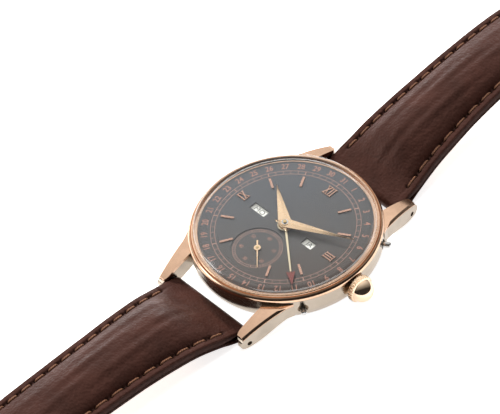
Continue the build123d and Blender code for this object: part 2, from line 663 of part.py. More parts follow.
crown_wheel_phase = 0.0
ratchet_phase = mesh_phase(CROWN_WHEEL, crown_wheel_phase, CROWN_TEETH, BARREL, RATCHET_TEETH)

with BuildPart() as ratchet_wheel:
    add_gear(on(BARREL, RATCHET_Z - 0.02), 0.27, RATCHET_TEETH, WINDING_MODULE, ratchet_phase)
    add_rod(BARREL, 1, 2, BARREL_HUB_R + 0.02, mode=Mode.SUBTRACT)
write(ratchet_wheel, "ratchet_wheel")

with BuildPart() as crown_wheel:
    add_gear(on(CROWN_WHEEL, RATCHET_Z), 0.88, CROWN_TEETH, WINDING_MODULE, crown_wheel_phase)
    add_rod(CROWN_WHEEL, 1, 3, 0.76, mode=Mode.SUBTRACT)
write(crown_wheel, "crown_wheel")

RATCHET_PITCH = 360 / RATCHET_TEETH
click_side = heading(BARREL, CLICK_PIVOT) - 20
gaps_along = round((click_side - ratchet_phase) / RATCHET_PITCH - 0.5)
click_angle = ratchet_phase + (gaps_along + 0.5) * RATCHET_PITCH
with BuildPart() as click:
    click_tip = polar(3.64, click_angle)
    tip = (BARREL[0] + click_tip[0], BARREL[1] + click_tip[1])
    side_step = polar(0.55, heading(CLICK_PIVOT, tip) + 90)
    with BuildSketch(Plane.XY.offset(1.3)) as pawl:
        with BuildLine():
            Polyline(tip, (CLICK_PIVOT[0] + side_step[0], CLICK_PIVOT[1] + side_step[1]),
                     (CLICK_PIVOT[0] - side_step[0], CLICK_PIVOT[1] - side_step[1]), close=True)
        make_face()
        with Locations(CLICK_PIVOT):
            Circle(0.75)
            Circle(0.34, mode=Mode.SUBTRACT)
    extrude(pawl.sketch, amount=0.22, dir=(0, 0, 1))
write(click, "click")

centre_phase = heading(CENTRE, THIRD)
with BuildPart() as centre_wheel:
    add_gear(on(CENTRE, 2.5), 0.2, CENTRE_TEETH, TRAIN_MODULE, centre_phase)
    cut_crossings(CENTRE, 2, 1, 3.35, 1.0)
    add_gear(on(CENTRE, 3.0), 0.45, CENTRE_LEAVES, BARREL_MODULE,
             mesh_phase(BARREL, heading(BARREL, CENTRE), BARREL_TEETH, CENTRE, CENTRE_LEAVES))
    add_rod(CENTRE, PIVOT_LOW, 7.95, 0.32)
write(centre_wheel, "centre_wheel")

third_phase = heading(THIRD, FOURTH)
with BuildPart() as third_wheel:
    add_gear(on(THIRD, 3.55), 0.2, THIRD_TEETH, TRAIN_MODULE, third_phase)
    cut_crossings(THIRD, 3.5, 0.3, 3.1, 0.9)
    add_gear(on(THIRD, 2.42), 0.4, TRAIN_LEAVES, TRAIN_MODULE,
             mesh_phase(CENTRE, centre_phase, CENTRE_TEETH, THIRD, TRAIN_LEAVES))
    add_rod(THIRD, PIVOT_LOW, PIVOT_HIGH, ARBOR_R)
write(third_wheel, "third_wheel")

fourth_phase = heading(FOURTH, ESCAPE)
with BuildPart() as fourth_wheel:
    add_gear(on(FOURTH, 2.95), 0.2, FOURTH_TEETH, ESCAPE_MODULE, fourth_phase)
    cut_crossings(FOURTH, 2.9, 0.3, 2.9, 0.8)
    add_gear(on(FOURTH, 3.5), 0.3, TRAIN_LEAVES, TRAIN_MODULE,
             mesh_phase(THIRD, third_phase, THIRD_TEETH, FOURTH, TRAIN_LEAVES))
    add_rod(FOURTH, PIVOT_LOW, SECONDS_HAND_Z + 0.2, ARBOR_R)
write(fourth_wheel, "fourth_wheel")

ESCAPE_TEETH = 15
ESCAPE_R = 2.2
with BuildPart() as escape_wheel:
    with BuildSketch(on(ESCAPE, 3.25)) as club_teeth:
        corners = []
        for number in range(ESCAPE_TEETH):
            start = number * 360 / ESCAPE_TEETH
            corners.append(polar(1.62, start))
            corners.append(polar(ESCAPE_R, start + 7))
            corners.append(polar(ESCAPE_R - 0.06, start + 11))
            corners.append(polar(1.62, start + 10))
        with BuildLine():
            Polyline(*corners, close=True)
        make_face()
    extrude(club_teeth.sketch, amount=0.18, dir=(0, 0, 1))
    cut_crossings(ESCAPE, 3.2, 0.3, 1.4, 0.5, spokes=4, spoke_width=0.24)
    add_gear(on(ESCAPE, 2.88), 0.36, ESCAPE_LEAVES, ESCAPE_MODULE,
             mesh_phase(FOURTH, fourth_phase, FOURTH_TEETH, ESCAPE, ESCAPE_LEAVES))
    add_rod(ESCAPE, PIVOT_LOW, PIVOT_HIGH, ARBOR_R)
write(escape_wheel, "escape_wheel")

LEVER_Z = 3.28
LEVER_T = 0.15
IMPULSE_R = 0.62
to_wheel = heading(ESCAPE, PALLET)
to_balance = heading(PALLET, BALANCE)
lever_reach = sqrt((BALANCE[0] - PALLET[0]) ** 2 + (BALANCE[1] - PALLET[1]) ** 2) - 0.45
with BuildPart() as pallet_fork:
    for side in (-1, 1):
        offset_to_stone = polar(ESCAPE_R + 0.3, to_wheel + side * 30)
        stone = (ESCAPE[0] + offset_to_stone[0], ESCAPE[1] + offset_to_stone[1])
        arm_angle = heading(PALLET, stone)
        arm_length = sqrt((stone[0] - PALLET[0]) ** 2 + (stone[1] - PALLET[1]) ** 2)
        with BuildSketch(Plane(origin=(*PALLET, LEVER_Z)).rotated((0, 0, arm_angle))) as arm:
            with Locations((arm_length / 2, 0)):
                Rectangle(arm_length, 0.34)
        extrude(arm.sketch, amount=LEVER_T, dir=(0, 0, 1))
        with BuildSketch(Plane(origin=(*stone, LEVER_Z)).rotated(
                (0, 0, to_wheel + side * 30))) as stone_block:
            Rectangle(0.5, 0.24)
        extrude(stone_block.sketch, amount=LEVER_T, dir=(0, 0, 1))
    with BuildSketch(Plane(origin=(*PALLET, LEVER_Z)).rotated((0, 0, to_balance))) as lever:
        with Locations((lever_reach / 2, 0)):
            Rectangle(lever_reach, 0.3)
        with Locations((lever_reach - 0.25, 0)):
            Rectangle(0.5, 0.8)
        with Locations((lever_reach - 0.1, 0)):
            Rectangle(0.5, 0.28, mode=Mode.SUBTRACT)
    extrude(lever.sketch, amount=LEVER_T, dir=(0, 0, 1))
    add_rod(PALLET, PIVOT_LOW, PIVOT_HIGH, ARBOR_R)
write(pallet_fork, "pallet_fork")

RIM_SCREWS = 14
BALANCE_R = 3.62
with BuildPart() as balance_wheel:
    add_rod(BALANCE, 2.78, 3.02, BALANCE_R)
    cut_crossings(BALANCE, 2.7, 0.4, BALANCE_R - 0.4, 0.7, spokes=2, spoke_width=0.45)
    for number in range(RIM_SCREWS):
        angle = number * 360 / RIM_SCREWS
        rim_point = polar(BALANCE_R - 0.05, angle)
        screw_plane = Plane(origin=(BALANCE[0] + rim_point[0], BALANCE[1] + rim_point[1], 2.9),
                            z_dir=(*polar(1, angle), 0))
        with BuildSketch(screw_plane) as rim_screw:
            Circle(0.11)
        extrude(rim_screw.sketch, amount=0.35, dir=screw_plane.z_dir)
    add_rod(BALANCE, PIVOT_LOW, PIVOT_HIGH, 0.18)
    add_rod(BALANCE, 2.46, 2.68, 0.45)
    add_rod(BALANCE, 3.02, 3.22, 0.55)
    impulse = polar(0.45, to_balance + 180)
    add_rod((BALANCE[0] + impulse[0], BALANCE[1] + impulse[1]), 3.2, 3.46, 0.09)
write(balance_wheel, "balance_wheel")

with BuildPart() as hairspring:
    add_spiral(on(BALANCE, 2.5).rotated((0, 0, 90)), 0.12, 2.12, 16, 0.097, 0.045)
write(hairspring, "hairspring")


# --------------------------------------------------------------- motion and calendar
MOTION_MODULE = 0.1
HOUR_MODULE = 0.096
CANNON_LEAVES = 12
MINUTE_TEETH = 36
MINUTE_LEAVES = 10
HOUR_TEETH = 40
SETTING_TEETH = 20
DAY_TEETH = 80
GEAR_T = 0.22

cannon_phase = heading(CENTRE, MINUTE_WHEEL)
minute_wheel_phase = mesh_phase(CENTRE, cannon_phase, CANNON_LEAVES, MINUTE_WHEEL, MINUTE_TEETH)
minute_leaf_phase = heading(MINUTE_WHEEL, CENTRE)
hour_phase = mesh_phase(MINUTE_WHEEL, minute_leaf_phase, MINUTE_LEAVES, CENTRE, HOUR_TEETH)

with BuildPart() as cannon_pinion:
    add_gear(on(CENTRE, MOTION_Z + 0.02), GEAR_T, CANNON_LEAVES, MOTION_MODULE, cannon_phase)
    add_rod(CENTRE, MOTION_Z + GEAR_T + 0.02, MINUTE_HAND_Z + 0.22, 0.6)
    add_rod(CENTRE, 4, 9, 0.34, mode=Mode.SUBTRACT)
write(cannon_pinion, "cannon_pinion")

with BuildPart() as minute_wheel:
    add_gear(on(MINUTE_WHEEL, MOTION_Z + 0.02), GEAR_T, MINUTE_TEETH, MOTION_MODULE,
             minute_wheel_phase)
    add_gear(on(MINUTE_WHEEL, MOTION_Z + 0.02 + GEAR_T), 0.27, MINUTE_LEAVES, HOUR_MODULE,
             minute_leaf_phase)
    add_rod(MINUTE_WHEEL, 4, 6, 0.22, mode=Mode.SUBTRACT)
write(minute_wheel, "minute_wheel")

with BuildPart() as hour_wheel:
    add_gear(on(CENTRE, 4.92), 0.2, HOUR_TEETH, HOUR_MODULE, hour_phase)
    add_rod(CENTRE, 4.92, HOUR_HAND_Z + 0.2, 0.85)
    add_rod(CENTRE, 4, 9, 0.65, mode=Mode.SUBTRACT)
write(hour_wheel, "hour_wheel")

with BuildPart() as setting_wheel:
    add_gear(on(SETTING_WHEEL, MOTION_Z + 0.02), GEAR_T, SETTING_TEETH, MOTION_MODULE,
             mesh_phase(MINUTE_WHEEL, minute_wheel_phase, MINUTE_TEETH, SETTING_WHEEL,
                        SETTING_TEETH))
    add_rod(SETTING_WHEEL, 4, 6, 0.34, mode=Mode.SUBTRACT)
write(setting_wheel, "setting_wheel")

FINGER_REACH = 2.4
with BuildPart() as calendar_drive_wheel:
    add_gear(on(DAY_WHEEL_24H, 4.95), 0.15, DAY_TEETH, HOUR_MODULE,
             mesh_phase(CENTRE, hour_phase, HOUR_TEETH, DAY_WHEEL_24H, DAY_TEETH))
    cut_crossings(DAY_WHEEL_24H, 4.9, 0.3, 3.3, 1.0, spokes=4, spoke_width=0.5)
    add_rod(DAY_WHEEL_24H, MOTION_Z, 5.7, 0.4)
    with BuildSketch(on(DAY_WHEEL_24H, 5.52)) as finger:
        with BuildLine():
            Polyline((-0.5, 0), (-0.12, FINGER_REACH), (0.12, FINGER_REACH), (0.5, 0), close=True)
        make_face()
        Circle(0.7)
    extrude(finger.sketch, amount=0.16, dir=(0, 0, 1))
write(calendar_drive_wheel, "calendar_drive_wheel")

DATE_TEETH = 31
DATE_MODULE = 0.2
with BuildPart() as date_wheel:
    add_gear(on(CENTRE, STAR_Z + 0.02), 0.16, DATE_TEETH, DATE_MODULE)
    cut_crossings(CENTRE, STAR_Z, 0.3, 2.5, 1.5)
    add_rod(CENTRE, STAR_Z + 0.02, DATE_HAND_Z + 0.12, 1.15)
    add_rod(CENTRE, 5, 8, 0.92, mode=Mode.SUBTRACT)
write(date_wheel, "date_wheel")


def add_star(plane, thickness, points, tip_r, root_r):
    """Add a pointed star wheel to the part that is being built."""
    corners = []
    for number in range(points):
        corners.append(polar(tip_r, number * 360 / points))
        corners.append(polar(root_r, (number + 0.5) * 360 / points))
    with BuildSketch(plane) as star:
        with BuildLine():
            Polyline(*corners, close=True)
        make_face()
    extrude(star.sketch, amount=thickness, dir=plane.z_dir)


with BuildPart() as day_disc:
    add_star(on(DAY_DISC, STAR_Z + 0.02), 0.16, 7, 3.8, 2.7)
    add_rod(DAY_DISC, STAR_Z + 0.02, DISC_Z + DISC_T, 1.0)
    add_rod(DAY_DISC, DISC_Z, DISC_Z + DISC_T, 5.35)
    add_rod(DAY_DISC, 5, 7, 0.34, mode=Mode.SUBTRACT)
write(day_disc, "day_disc")

with BuildPart() as month_disc:
    add_star(on(MONTH_DISC, STAR_Z + 0.02), 0.16, 12, 3.0, 2.4)
    add_rod(MONTH_DISC, STAR_Z + 0.02, DISC_Z + DISC_T, 1.0)
    add_rod(MONTH_DISC, DISC_Z, DISC_Z + DISC_T, 5.4)
    add_rod(MONTH_DISC, 5, 7, 0.34, mode=Mode.SUBTRACT)
write(month_disc, "month_disc")


# ----------------------------------------------------- crown, keyless work, correctors
STEM_R = 0.5
STEM_BORE_R = 0.54
CROWN_FACE_X = 17.6
CROWN_RING_R = 2.5
CROWN_RING_X = 18.55
CROWN_DOME_X = 18.7
CROWN_DOME_R = 2.12
CROWN_TIP_X = 20.75
KNURLS = 30
WINDING_TEETH = 16
stem_axis = Axis((0, 0, STEM_Z), (1, 0, 0))
stem_section = Plane(origin=(0, 0, STEM_Z), x_dir=(1, 0, 0), z_dir=(0, -1, 0))


def across_stem(x):
    """Return a workplane square to the stem."""
    return Plane(origin=(x, 0, STEM_Z), x_dir=(0, 1, 0), z_dir=(1, 0, 0))


crown_dome_centre = CROWN_TIP_X - CROWN_DOME_R
crown_dome_foot = (CROWN_DOME_X, sqrt(CROWN_DOME_R ** 2 - (CROWN_DOME_X - crown_dome_centre) ** 2))
crown_dome_middle = (crown_dome_centre + CROWN_DOME_R * cos(pi / 4), CROWN_DOME_R * sin(pi / 4))

with BuildPart() as crown:
    with BuildSketch(stem_section):
        with BuildLine():
            Line((CROWN_FACE_X, STEM_R), (CROWN_FACE_X, CROWN_RING_R))
            Line((CROWN_FACE_X, CROWN_RING_R), (CROWN_RING_X, CROWN_RING_R))
            Line((CROWN_RING_X, CROWN_RING_R), crown_dome_foot)
            ThreePointArc(crown_dome_foot, crown_dome_middle, (CROWN_TIP_X, 0))
            Line((CROWN_TIP_X, 0), (18.4, 0))
            Line((18.4, 0), (18.4, STEM_R))
            Line((18.4, STEM_R), (CROWN_FACE_X, STEM_R))
        make_face()
    revolve(axis=stem_axis)
    with BuildSketch(across_stem(CROWN_FACE_X - 0.1)) as knurling:
        with PolarLocations(CROWN_RING_R + 0.03, KNURLS):
            Circle(0.2)
    extrude(knurling.sketch, amount=1.2, dir=(1, 0, 0), mode=Mode.SUBTRACT)
write(crown, "crown")

GROOVE_X = (10.5, 11.1)
STEM_PIPE_R = 1.0
with BuildPart() as winding_stem:
    with BuildSketch(stem_section):
        with BuildLine():
            Polyline((4.95, 0), (4.95, 0.3), (5.95, 0.3), (5.95, STEM_R), (GROOVE_X[0], STEM_R),
                     (GROOVE_X[0], 0.3), (GROOVE_X[1], 0.3), (GROOVE_X[1], STEM_R),
                     (15.2, STEM_R), (15.2, STEM_PIPE_R), (CROWN_FACE_X, STEM_PIPE_R),
                     (CROWN_FACE_X, STEM_R), (18.38, STEM_R), (18.38, 0), close=True)
        make_face()
    revolve(axis=stem_axis)
write(winding_stem, "winding_stem")

with BuildPart() as winding_pinion:
    add_gear(across_stem(8.15), 0.7, WINDING_TEETH, 0.18)
    with BuildSketch(across_stem(8.85)) as pinion_hub:
        Circle(1.0)
    extrude(pinion_hub.sketch, amount=0.55, dir=(1, 0, 0))
    with BuildSketch(across_stem(8)) as pinion_bore:
        Circle(STEM_BORE_R)
    extrude(pinion_bore.sketch, amount=3, dir=(1, 0, 0), mode=Mode.SUBTRACT)
write(winding_pinion, "winding_pinion")

with BuildPart() as sliding_pinion:
    add_gear(across_stem(6.75), 0.5, 14, 0.145)
    with BuildSketch(across_stem(7.25)) as groove_floor:
        Circle(0.7)
    extrude(groove_floor.sketch, amount=0.55, dir=(1, 0, 0))
    add_gear(across_stem(7.8), 0.25, 14, 0.145)
    with BuildSketch(across_stem(6.5)) as slider_bore:
        Circle(STEM_BORE_R)
    extrude(slider_bore.sketch, amount=3, dir=(1, 0, 0), mode=Mode.SUBTRACT)
write(sliding_pinion, "sliding_pinion")

LEVER_PIN = (10.8, 0.0)
with BuildPart() as setting_lever:
    with BuildSketch(Plane.XY.offset(MOTION_Z)) as lever_plate:
        with BuildLine():
            Polyline((SETTING_PIVOT[0] - 0.5, SETTING_PIVOT[1]), (LEVER_PIN[0] - 0.35, 0.2),
                     (LEVER_PIN[0] + 0.4, 0.2), (SETTING_PIVOT[0] + 0.65, SETTING_PIVOT[1]),
                     close=True)
        make_face()
        with Locations(SETTING_PIVOT):
            Circle(0.65)
            Circle(0.34, mode=Mode.SUBTRACT)
    extrude(lever_plate.sketch, amount=0.24, dir=(0, 0, 1))
    add_rod(LEVER_PIN, 4.2, MOTION_Z + 0.1, 0.16)
write(setting_lever, "setting_lever")

YOKE_TONGUE_X = 7.525
with BuildPart() as yoke:
    with BuildSketch(Plane.XY.offset(MOTION_Z)) as yoke_plate:
        with BuildLine():
            Polyline((YOKE_PIVOT[0] - 0.5, YOKE_PIVOT[1]), (YOKE_TONGUE_X - 0.4, -1.5),
                     (YOKE_TONGUE_X - 0.13, -1.15), (YOKE_TONGUE_X - 0.13, 0.35),
                     (YOKE_TONGUE_X + 0.13, 0.35), (YOKE_TONGUE_X + 0.13, -1.3),
                     (YOKE_PIVOT[0] + 0.65, YOKE_PIVOT[1]), close=True)
        make_face()
        with Locations(YOKE_PIVOT):
            Circle(0.65)
            Circle(0.34, mode=Mode.SUBTRACT)
    extrude(yoke_plate.sketch, amount=0.24, dir=(0, 0, 1))
write(yoke, "yoke")

CORRECTOR_PIN_R = 0.55
CORRECTOR_TIP_R = 18.55
correctors = {"month_corrector": CORRECTOR_ANGLE, "day_corrector": -CORRECTOR_ANGLE}
for corrector_name, angle in correctors.items():
    radial = (*polar(1, angle), 0)
    with BuildPart() as corrector:
        with BuildSketch(Plane(origin=(*polar(13.9, angle), CORRECTOR_Z), z_dir=radial)) as pin:
            Circle(CORRECTOR_PIN_R)
        extrude(pin.sketch, amount=CORRECTOR_TIP_R - 13.9, dir=radial)
        chamfer(corrector.edges().sort_by(Axis((0, 0, 0), radial))[-1], 0.15)
        with BuildSketch(Plane(origin=(*polar(14.1, angle), CORRECTOR_Z), z_dir=radial)) as stop:
            Circle(0.9)
        extrude(stop.sketch, amount=0.7, dir=radial)
    write(corrector, corrector_name)


# ---------------------------------------------------------------------------- strap
# Each spine is the strap's mid-height at its edge: distance from the dial's centre, height.
LONG_SPINE = [(BAR_Y, BAR_Z), (24, 3.0), (28, 4.3), (34, 5.3), (41, 5.9), (47, 6.2), (58, 6.4),
              (75, 5.7), (92, 3.7), (108, 1.75), (118, 1.25), (126, 1.2), (133, 1.2)]
SHORT_SPINE = [(BAR_Y, BAR_Z), (24, 3.0), (28, 4.5), (34, 6.0), (40, 7.1), (46, 7.9), (54, 8.5),
               (62, 8.4), (70, 7.1), (77, 5.3), (84.5, 3.35), (BUCKLE_BAR_Y, BAR_Z)]
STRAP_HALF_WIDTHS = [(24, 8.75), (31, 8.2), (40, 7.65), (50, 7.35), (75, 7.05)]
TAIL_HALF = 7.0
TAIL_Y = 134.0
TAIL_CURVE_Y = 122.0
PAD_T = 0.9
PAD_END_Y = 72
LINING_START = 2
LINING_TOP = LINING_T - STRAP_T / 2
STRAP_HOLE_R = 0.9
STRAP_HOLES = [88 + 6.5 * number for number in range(6)]


def pad_height(distance):
    """Return how far the padding stands over the strap's edge at a distance."""
    if distance <= BAR_Y or distance >= PAD_END_Y:
        return 0.0
    return PAD_T * min(1, (distance - BAR_Y) / 5, (PAD_END_Y - distance) / 14)


def add_strap_layer(spine, side, low, high, padded=False):
    """Add one layer of a strap half, between two heights over its spine."""
    roof_points = [(side * y, z + high + (pad_height(y) if padded else 0)) for y, z in spine]
    with BuildSketch(Plane.YZ) as layer:
        with BuildLine():
            roof = Spline(*roof_points)
            floor = Spline(*[(side * y, z + low) for y, z in spine])
            Line(roof @ 0, floor @ 0)
            Line(roof @ 1, floor @ 1)
        make_face()
    extrude(layer.sketch, amount=STRAP_END_HALF, dir=(1, 0, 0), both=True)


def add_loop(y, radius):
    """Add the end of the leather that is turned round a bar."""
    with BuildSketch(Plane.YZ) as loop:
        with Locations((y, BAR_Z)):
            Circle(radius)
    extrude(loop.sketch, amount=STRAP_END_HALF, dir=(1, 0, 0), both=True)


def cut_tunnel(y, radius):
    """Cut the tunnel of a bar through a strap's end."""
    with BuildSketch(Plane.YZ) as tunnel:
        with Locations((y, BAR_Z)):
            Circle(radius)
    extrude(tunnel.sketch, amount=STRAP_END_HALF + 1, dir=(1, 0, 0), both=True,
            mode=Mode.SUBTRACT)


def trim_to_width(side, end_y):
    """Keep the strap inside its tapering outline; a tail ends in a rounded point."""
    edge = [(STRAP_END_HALF, 17), (STRAP_END_HALF, 22)]
    edge += [(half, y) for y, half in STRAP_HALF_WIDTHS]
    with BuildSketch(Plane.XY.offset(-1)) as outline:
        with BuildLine():
            for hand in (-1, 1):
                Polyline(*[(hand * x, side * y) for x, y in edge],
                         (hand * TAIL_HALF, side * end_y))
            Line((-STRAP_END_HALF, side * 17), (STRAP_END_HALF, side * 17))
            if end_y == TAIL_CURVE_Y:
                Spline((-TAIL_HALF, side * end_y), (0, side * TAIL_Y), (TAIL_HALF, side * end_y),
                       tangents=[(0.2, side), (0.2, -side)])
            else:
                Line((-TAIL_HALF, side * end_y), (TAIL_HALF, side * end_y))
        make_face()
    extrude(outline.sketch, amount=14, dir=(0, 0, 1), mode=Mode.INTERSECT)


with BuildPart() as strap_long:
    add_strap_layer(LONG_SPINE, -1, LINING_TOP + 0.02, STRAP_T / 2, padded=True)
    add_loop(-BAR_Y, BAR_LOOP_R)
    cut_tunnel(-BAR_Y, BAR_R + 0.06)
    trim_to_width(-1, TAIL_CURVE_Y)
    for hole_y in STRAP_HOLES:
        add_rod((0, -hole_y), -1, 12, STRAP_HOLE_R, mode=Mode.SUBTRACT)
write(strap_long, "strap_long")

with BuildPart() as strap_long_lining:
    add_strap_layer(LONG_SPINE[LINING_START:], -1, -STRAP_T / 2, LINING_TOP)
    trim_to_width(-1, TAIL_CURVE_Y)
    for hole_y in STRAP_HOLES:
        add_rod((0, -hole_y), -1, 12, STRAP_HOLE_R, mode=Mode.SUBTRACT)
write(strap_long_lining, "strap_long_lining")

TONGUE_SLOT_HALF = 1.25
with BuildPart() as strap_short:
    add_strap_layer(SHORT_SPINE, 1, LINING_TOP + 0.02, STRAP_T / 2, padded=True)
    add_loop(BAR_Y, BAR_LOOP_R)
    add_loop(BUCKLE_BAR_Y, 1.2)
    cut_tunnel(BAR_Y, BAR_R + 0.06)
    cut_tunnel(BUCKLE_BAR_Y, 0.66)
    trim_to_width(1, BUCKLE_BAR_Y + 1.5)
    with BuildSketch(Plane.XY.offset(-1)) as tongue_slot:
        with Locations((0, BUCKLE_BAR_Y)):
            Rectangle(2 * TONGUE_SLOT_HALF, 4.5)
    extrude(tongue_slot.sketch, amount=8, dir=(0, 0, 1), mode=Mode.SUBTRACT)
write(strap_short, "strap_short")

with BuildPart() as strap_short_lining:
    add_strap_layer(SHORT_SPINE[LINING_START:-1], 1, -STRAP_T / 2, LINING_TOP)
    trim_to_width(1, 84)
write(strap_short_lining, "strap_short_lining")

KEEPER_SLOPE = degrees(atan2(BAR_Z - 3.35, BUCKLE_BAR_Y - 84.5))
KEEPER_INNER_HALF = 7.45
KEEPER_WALL = 1.0
KEEPER_WIDTH = 4.5
KEEPER_TAIL_ROOM = 2.6
KEEPER_GAP = 0.35
keepers = {"fixed_keeper": (86.4, 2.85), "free_keeper": (79.0, 4.79)}
for keeper_name, (keeper_y, keeper_z) in keepers.items():
    along = (0, cos(radians(KEEPER_SLOPE)), sin(radians(KEEPER_SLOPE)))
    keeper_plane = Plane(origin=(0, keeper_y, keeper_z), x_dir=(1, 0, 0), z_dir=along)
    inner_low = -(STRAP_T / 2 + KEEPER_TAIL_ROOM)
    inner_high = STRAP_T / 2 + KEEPER_GAP
    inner_height = inner_high - inner_low
    with BuildPart() as keeper:
        with BuildSketch(keeper_plane) as band:
            with Locations((0, (inner_low + inner_high) / 2)):
                RectangleRounded(2 * (KEEPER_INNER_HALF + KEEPER_WALL),
                                 inner_height + 2 * KEEPER_WALL, 1.2)
                RectangleRounded(2 * KEEPER_INNER_HALF, inner_height, 0.5, mode=Mode.SUBTRACT)
        extrude(band.sketch, amount=KEEPER_WIDTH / 2, dir=along, both=True)
    write(keeper, keeper_name)

# ----------------------------------------------------------------------------- buckle
BUCKLE_BAR_R = 0.6
BUCKLE_INNER_HALF = 7.35
BUCKLE_OUTER_HALF = 9.0
BUCKLE_END_Y = BUCKLE_BAR_Y + 9.6
BUCKLE_RAIL = 1.7

with BuildPart() as buckle_bar:
    with BuildSketch(Plane.YZ):
        with Locations((BUCKLE_BAR_Y, BAR_Z)):
            Circle(BUCKLE_BAR_R)
    extrude(amount=BUCKLE_INNER_HALF + 0.9, both=True)
write(buckle_bar, "buckle_bar")

with BuildPart() as buckle_frame:
    with BuildSketch(Plane.YZ) as frame_side:
        with Locations((BUCKLE_BAR_Y, BAR_Z)):
            Circle(1.3)
        with BuildLine():
            Polyline((BUCKLE_BAR_Y, 0.1), (BUCKLE_END_Y, 0.3), (BUCKLE_END_Y, 2.3),
                     (BUCKLE_BAR_Y, 2.7), close=True)
        make_face()
    extrude(frame_side.sketch, amount=BUCKLE_OUTER_HALF, dir=(1, 0, 0), both=True)
    with BuildSketch(Plane.XY.offset(-1)) as frame_window:
        with Locations((0, BUCKLE_BAR_Y - 2 + (BUCKLE_END_Y - BUCKLE_RAIL - BUCKLE_BAR_Y + 2) / 2)):
            Rectangle(2 * BUCKLE_INNER_HALF, BUCKLE_END_Y - BUCKLE_RAIL - BUCKLE_BAR_Y + 2)
    extrude(frame_window.sketch, amount=6, dir=(0, 0, 1), mode=Mode.SUBTRACT)
    with BuildSketch(Plane.YZ) as bar_seat:
        with Locations((BUCKLE_BAR_Y, BAR_Z)):
            Circle(BUCKLE_BAR_R + 0.02)
    extrude(bar_seat.sketch, amount=BUCKLE_INNER_HALF + 0.9, dir=(1, 0, 0), both=True,
            mode=Mode.SUBTRACT)
    fillet(buckle_frame.edges().filter_by(Axis.Z).group_by(Axis.Y)[-1], 1.6)
write(buckle_frame, "buckle_frame")

with BuildPart() as buckle_tongue:
    with BuildSketch(Plane.YZ) as tongue_side:
        with BuildLine():
            Polyline((BUCKLE_BAR_Y, 2.5), (BUCKLE_END_Y - 2.2, 3.05), (BUCKLE_END_Y + 0.1, 3.0),
                     (BUCKLE_END_Y + 0.1, 2.42), (BUCKLE_END_Y - 2.2, 2.5), (BUCKLE_BAR_Y, 1.9),
                     close=True)
        make_face()
        with Locations((BUCKLE_BAR_Y, BAR_Z)):
            Circle(1.15)
            Circle(BUCKLE_BAR_R + 0.06, mode=Mode.SUBTRACT)
    extrude(tongue_side.sketch, amount=0.95, dir=(1, 0, 0), both=True)
write(buckle_tongue, "buckle_tongue")
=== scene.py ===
"""Looks of the triple-calendar wristwatch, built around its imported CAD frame, in metres."""
import json
import math

import bmesh
import bpy
import numpy as np
from mathutils import Matrix, Vector


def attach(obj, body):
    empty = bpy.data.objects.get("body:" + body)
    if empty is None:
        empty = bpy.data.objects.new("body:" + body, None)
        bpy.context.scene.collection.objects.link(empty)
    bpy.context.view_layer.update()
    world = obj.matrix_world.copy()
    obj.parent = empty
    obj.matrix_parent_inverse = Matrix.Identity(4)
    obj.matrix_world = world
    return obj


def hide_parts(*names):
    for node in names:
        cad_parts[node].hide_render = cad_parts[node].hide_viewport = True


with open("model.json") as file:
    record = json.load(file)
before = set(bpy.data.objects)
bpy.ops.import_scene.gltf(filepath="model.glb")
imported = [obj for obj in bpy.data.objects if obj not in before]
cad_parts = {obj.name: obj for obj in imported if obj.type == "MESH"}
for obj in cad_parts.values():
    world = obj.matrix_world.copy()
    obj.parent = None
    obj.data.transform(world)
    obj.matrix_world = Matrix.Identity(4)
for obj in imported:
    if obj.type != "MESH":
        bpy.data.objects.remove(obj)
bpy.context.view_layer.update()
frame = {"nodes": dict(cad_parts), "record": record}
nodes = frame["nodes"]
scene = bpy.context.scene
MM = 0.001
DIAL_TOP = 6.6


# ------------------------------------------------------------------------- camera
AZIMUTH = math.radians(-36.59)
ELEVATION = math.radians(46.91)
ROLL = math.radians(-9.02)
DISTANCE = 450
AIM = Vector((-8.03, -1.02, DIAL_TOP))
LENS = 183.9

towards = Vector((math.cos(ELEVATION) * math.cos(AZIMUTH), math.cos(ELEVATION) * math.sin(AZIMUTH),
                  math.sin(ELEVATION)))
level = Vector((0, 0, 1)).cross(towards).normalized()
upright = towards.cross(level)
right = math.cos(ROLL) * level + math.sin(ROLL) * upright
up = math.cos(ROLL) * upright - math.sin(ROLL) * level
camera_data = bpy.data.cameras.new("camera")
camera_data.lens = LENS
camera_data.sensor_width = 36
camera_data.clip_start = 0.01
camera = bpy.data.objects.new("camera", camera_data)
camera.matrix_world = Matrix.Translation((AIM + DISTANCE * towards) * MM) @ Matrix(
    (right, up, towards)).transposed().to_4x4()
scene.collection.objects.link(camera)
scene.camera = camera
scene.view_settings.view_transform = "Standard"


# ---------------------------------------------------------------- floor and light
def area_light(name, place, target, size, power, shape_y=None, glossy=True):
    """Add a softbox at a place in metres, facing a target. One that is not glossy makes no highlights."""
    data = bpy.data.lights.new(name, "AREA")
    data.shape = "RECTANGLE"
    data.size = size
    data.size_y = shape_y or size
    data.energy = power
    lamp = bpy.data.objects.new(name, data)
    direction = Vector(target) - Vector(place)
    lamp.matrix_world = Matrix.Translation(place) @ direction.to_track_quat("-Z", "Y").to_matrix().to_4x4()
    lamp.visible_glossy = glossy
    scene.collection.objects.link(lamp)


